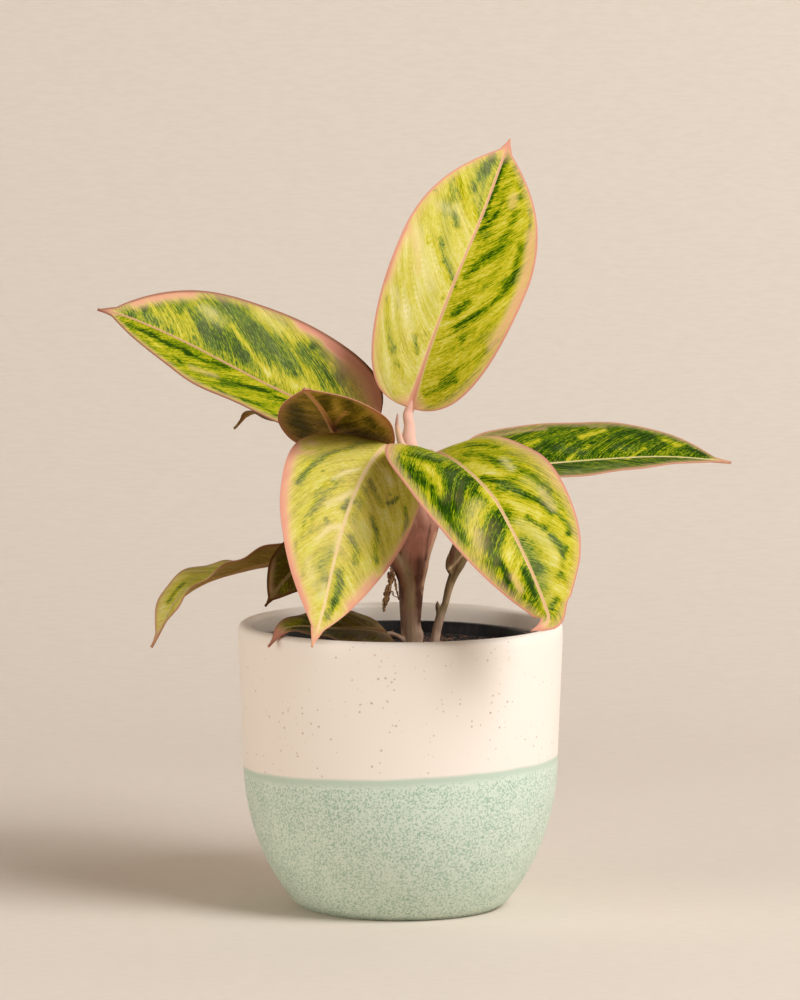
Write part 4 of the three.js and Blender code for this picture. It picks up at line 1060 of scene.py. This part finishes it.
def growTogether(pieces, look):
    # one skin over all the tubes, softened where they meet, then painted
    piece = joinPieces(pieces)
    applyModifier(piece, "REMESH", mode="VOXEL", voxel_size=stems["voxel"] * mm)
    applyModifier(piece, "SMOOTH", factor=0.5, iterations=stems["smoothing"])
    mesh = piece.data
    here = readVertices(mesh, "co")[:, [0, 2]] / mm
    tone = np.zeros((len(here), 3))
    for column, kind in enumerate(stalkTones):
        for radius, strength, *places in look["marks"].get(kind, []):
            tone[:, column] += strength * brushShare(here, radius, places)
    writeAttribute(mesh, "tone", tone)
    mesh.materials.append(stalkMaterial(look))
    return piece


def stalkMaterial(look):
    # living stalk: its colour goes by height, with painted patches and fine lengthwise streaks
    material, tree = newMaterial(look["name"])
    place = addNode(tree, "TexCoord").outputs["Object"]
    stretched = addNode(tree, "VectorMath", {0: place, 1: (900, 900, 80)}, operation="MULTIPLY")
    streaks = addNode(tree, "TexNoise", {"Vector": stretched, "Scale": 1, "Detail": 3})
    blots = addNode(tree, "TexNoise", {"Vector": place, "Scale": 260, "Detail": 2})
    low, high = look["levels"][0][0], look["levels"][-1][0]
    height = addNode(tree, "SeparateXYZ", {0: place}).outputs[2]
    share = addNode(tree, "MapRange", {"Value": height, "From Min": low * mm, "From Max": high * mm})
    colour = addNode(tree, "ValToRGB", {"Fac": share})
    setRamp(colour, [((z - low) / (high - low), tone) for z, tone in look["levels"]])
    # darker streaks and blots, which fade on the young top
    grained, blotted = (addNode(tree, "Math", {0: pattern, 1: weight, 2: lift}, operation="MULTIPLY_ADD")
                        for pattern, weight, lift in ((streaks, 0.9, -0.4), (blots, 0.6, -0.27)))
    ageing = addNode(tree, "MapRange", {"Value": height, "From Min": 0.165, "From Max": 0.195, "To Min": 1,
                                        "To Max": 0.2})
    painted = addNode(tree, "Attribute", attribute_name="tone").outputs["Vector"]
    painted = dict(zip(stalkTones, addNode(tree, "SeparateXYZ", {0: painted}).outputs))
    dark = addNode(tree, "Math", {0: grained, 1: blotted}, operation="ADD")
    dark = addNode(tree, "Math", {0: dark, 1: ageing}, operation="MULTIPLY")
    dark = addNode(tree, "Math", {0: dark, 1: painted["dark"]}, operation="ADD", use_clamp=True)
    for share, tone in ((painted["olive"], "olive"), (painted["pale"], "pale"), (dark, "dark")):
        colour = addNode(tree, "Mix", {0: share, 6: colour, 7: toLinear(stalkTones[tone])}, data_type="RGBA")
    bump = addNode(tree, "Bump", {"Strength": 0.5, "Distance": 0.3 * mm, "Height": streaks})
    skin = addNode(tree, "BsdfPrincipled", {"Base Color": colour, "Roughness": 0.5, "Specular IOR Level": 0.2,
                                            "Normal": bump})
    addNode(tree, "OutputMaterial", {"Surface": skin})
    return material


def witheredMaterial():
    # dry fibrous sheath: tan, with dark creases along it
    material, tree = newMaterial("driedSheath")
    place = addNode(tree, "TexCoord").outputs["Object"]
    stretched = addNode(tree, "VectorMath", {0: place, 1: (1500, 1500, 300)}, operation="MULTIPLY")
    fibres = addNode(tree, "TexNoise", {"Vector": stretched, "Scale": 1, "Detail": 3})
    colour = addNode(tree, "ValToRGB", {"Fac": fibres})
    setRamp(colour, witheredLevels)
    bump = addNode(tree, "Bump", {"Strength": 0.8, "Distance": 0.6 * mm, "Height": fibres})
    skin = addNode(tree, "BsdfPrincipled", {"Base Color": colour, "Roughness": 0.8, "Normal": bump})
    addNode(tree, "OutputMaterial", {"Surface": skin})
    return material


def makeStems():
    tubes = [makeTube(stems[name], steps) for name, steps in (("cane", 70), ("swelling", 12), ("rolledTip", 30))]
    tubes += [makeTube(stalkToBlade(leafName), 40) for leafName in stalks if leafName != "leafRight"]
    finishPiece(growTogether(tubes, stalkLooks["mainStem"]), "mainStem", "stem", "main_stem")
    tubes = [makeTube(stalkToBlade("leafRight"), 80)]
    tubes += [makeTube(stems[name], 24) for name in ("nub", "flap", "flapInside")]
    finishPiece(growTogether(tubes, stalkLooks["sideShoot"]), "sideShoot", "shoot", "side_shoot")
    # the sheath is thin and crumpled
    piece = joinPieces([makeTube(stems["withered"], 60), *(makeTube(points, 24) for points in stems["threads"])])
    for vertex in piece.data.vertices:
        spot = vertex.co / mm * stems["crumpleScale"]
        vertex.co += Vector((noise.noise(spot), noise.noise(spot + Vector((9, 0, 0))), 0)) * stems["crumple"] * mm
    piece.data.materials.append(witheredMaterial())
    finishPiece(piece, "drySheath", "dry_leaf", "dry_sheath")


makeStems()
print("stems done")

# Floor, light and camera

studio = {
    "floorColour": "#e2d5c7", "threadColour": "#dfd2c3",
    "inFront": 3.0, "depthBehind": 0.45, "bend": 0.8, "height": 2.2, "halfWidth": 4,  # metres
    "lights": {
        "softKey": {"direction": (0.72, -0.6, 0.8), "distance": 3.0, "size": 1.6, "power": 89.0, "colour": "#f8fbff"},
        "leftCard": {"direction": (-0.85, -0.5, 0.1), "distance": 1.6, "size": 1.4, "power": 15.5, "colour": "#fffaf2"},
        "rightCard": {"direction": (1, -0.15, 0.12), "distance": 2.0, "size": 1.2, "power": 10.5, "colour": "#fffaf2"},
    },
    "lightAim": (0, 0, 0.15), "worldColour": "#fff4ea", "worldStrength": 0.14,
    "aim": (-0.0002, 0.0, 0.1764), "cameraDistance": 3.0, "lookDown": 6.4, "lens": 250.7,
}


def makeBackdrop():
    # one cloth: flat in front, then bent up behind the pot
    bpy.ops.object.select_all(action="DESELECT")
    bpy.ops.mesh.primitive_grid_add(x_subdivisions=8, y_subdivisions=160, size=2)
    floor = bpy.context.object
    front, behind, bend = studio["inFront"], studio["depthBehind"], studio["bend"]
    run = (front + behind) + bend * math.pi / 2 + studio["height"]
    for vertex in floor.data.vertices:
        s = (vertex.co.y + 1) / 2 * run - front
        angle = min(max(0, s - behind) / bend, math.pi / 2)
        y = min(s, behind) + bend * math.sin(angle)
        z = bend * (1 - math.cos(angle)) + max(0, s - behind - bend * math.pi / 2)
        vertex.co = (vertex.co.x * studio["halfWidth"], y, z)
    bpy.ops.object.shade_smooth()
    floor.name = "floor"
    floor.data.materials.append(clothMaterial())


def clothMaterial():
    # washed linen: matte, slightly uneven, with slubby threads 2 mm apart and about 8 mm long
    material, tree = newMaterial("matteBackdropCloth")
    place = addNode(tree, "TexCoord").outputs["Object"]
    weave = addNode(tree, "TexNoise", {"Vector": place, "Scale": 60, "Detail": 3})
    drawn = addNode(tree, "VectorMath", {0: place, 1: (120, 450, 450)}, operation="MULTIPLY")
    threads = addNode(tree, "TexNoise", {"Vector": drawn, "Scale": 1, "Detail": 1})
    share = addNode(tree, "MapRange", {"Value": threads, "From Min": 0.35, "From Max": 0.65})
    linen = addNode(tree, "Mix", {0: share, 6: toLinear(studio["floorColour"]),
                                  7: toLinear(studio["threadColour"])}, data_type="RGBA")
    bump = addNode(tree, "Bump", {"Strength": 0.15, "Distance": 2 * mm, "Height": weave})
    cloth = addNode(tree, "BsdfPrincipled", {"Base Color": linen, "Roughness": 0.95,
                                             "Specular IOR Level": 0.1, "Normal": bump})
    addNode(tree, "OutputMaterial", {"Surface": cloth})
    return material


def makeLights():
    for name, light in studio["lights"].items():
        direction = Vector(light["direction"]).normalized()
        bpy.ops.object.light_add(type="AREA", location=Vector(studio["lightAim"]) + direction * light["distance"],
                                 rotation=direction.to_track_quat("Z", "Y").to_euler())
        lamp = bpy.context.object
        lamp.name = name
        lamp.data.shape = "DISK"
        lamp.data.size = light["size"]
        lamp.data.energy = light["power"]
        lamp.data.color = toLinear(light["colour"])[:3]
    world = bpy.data.worlds.new("studioRoom")
    world.use_nodes = True
    background = world.node_tree.nodes["Background"]
    background.inputs[0].default_value = toLinear(studio["worldColour"])
    background.inputs[1].default_value = studio["worldStrength"]
    bpy.context.scene.world = world
    bpy.context.scene.view_settings.view_transform = "Standard"


def makeCamera():
    # a long lens that looks a little down, as the photograph's does
    down = math.radians(studio["lookDown"])
    away = Vector((0, -math.cos(down), math.sin(down)))
    bpy.ops.object.camera_add(location=Vector(studio["aim"]) + away * studio["cameraDistance"],
                              rotation=(math.pi / 2 - down, 0, 0))
    camera = bpy.context.object
    camera.data.lens = studio["lens"]
    camera.data.clip_end = 20
    bpy.context.scene.camera = camera


makeBackdrop()
makeLights()
makeCamera()
print("studio done")
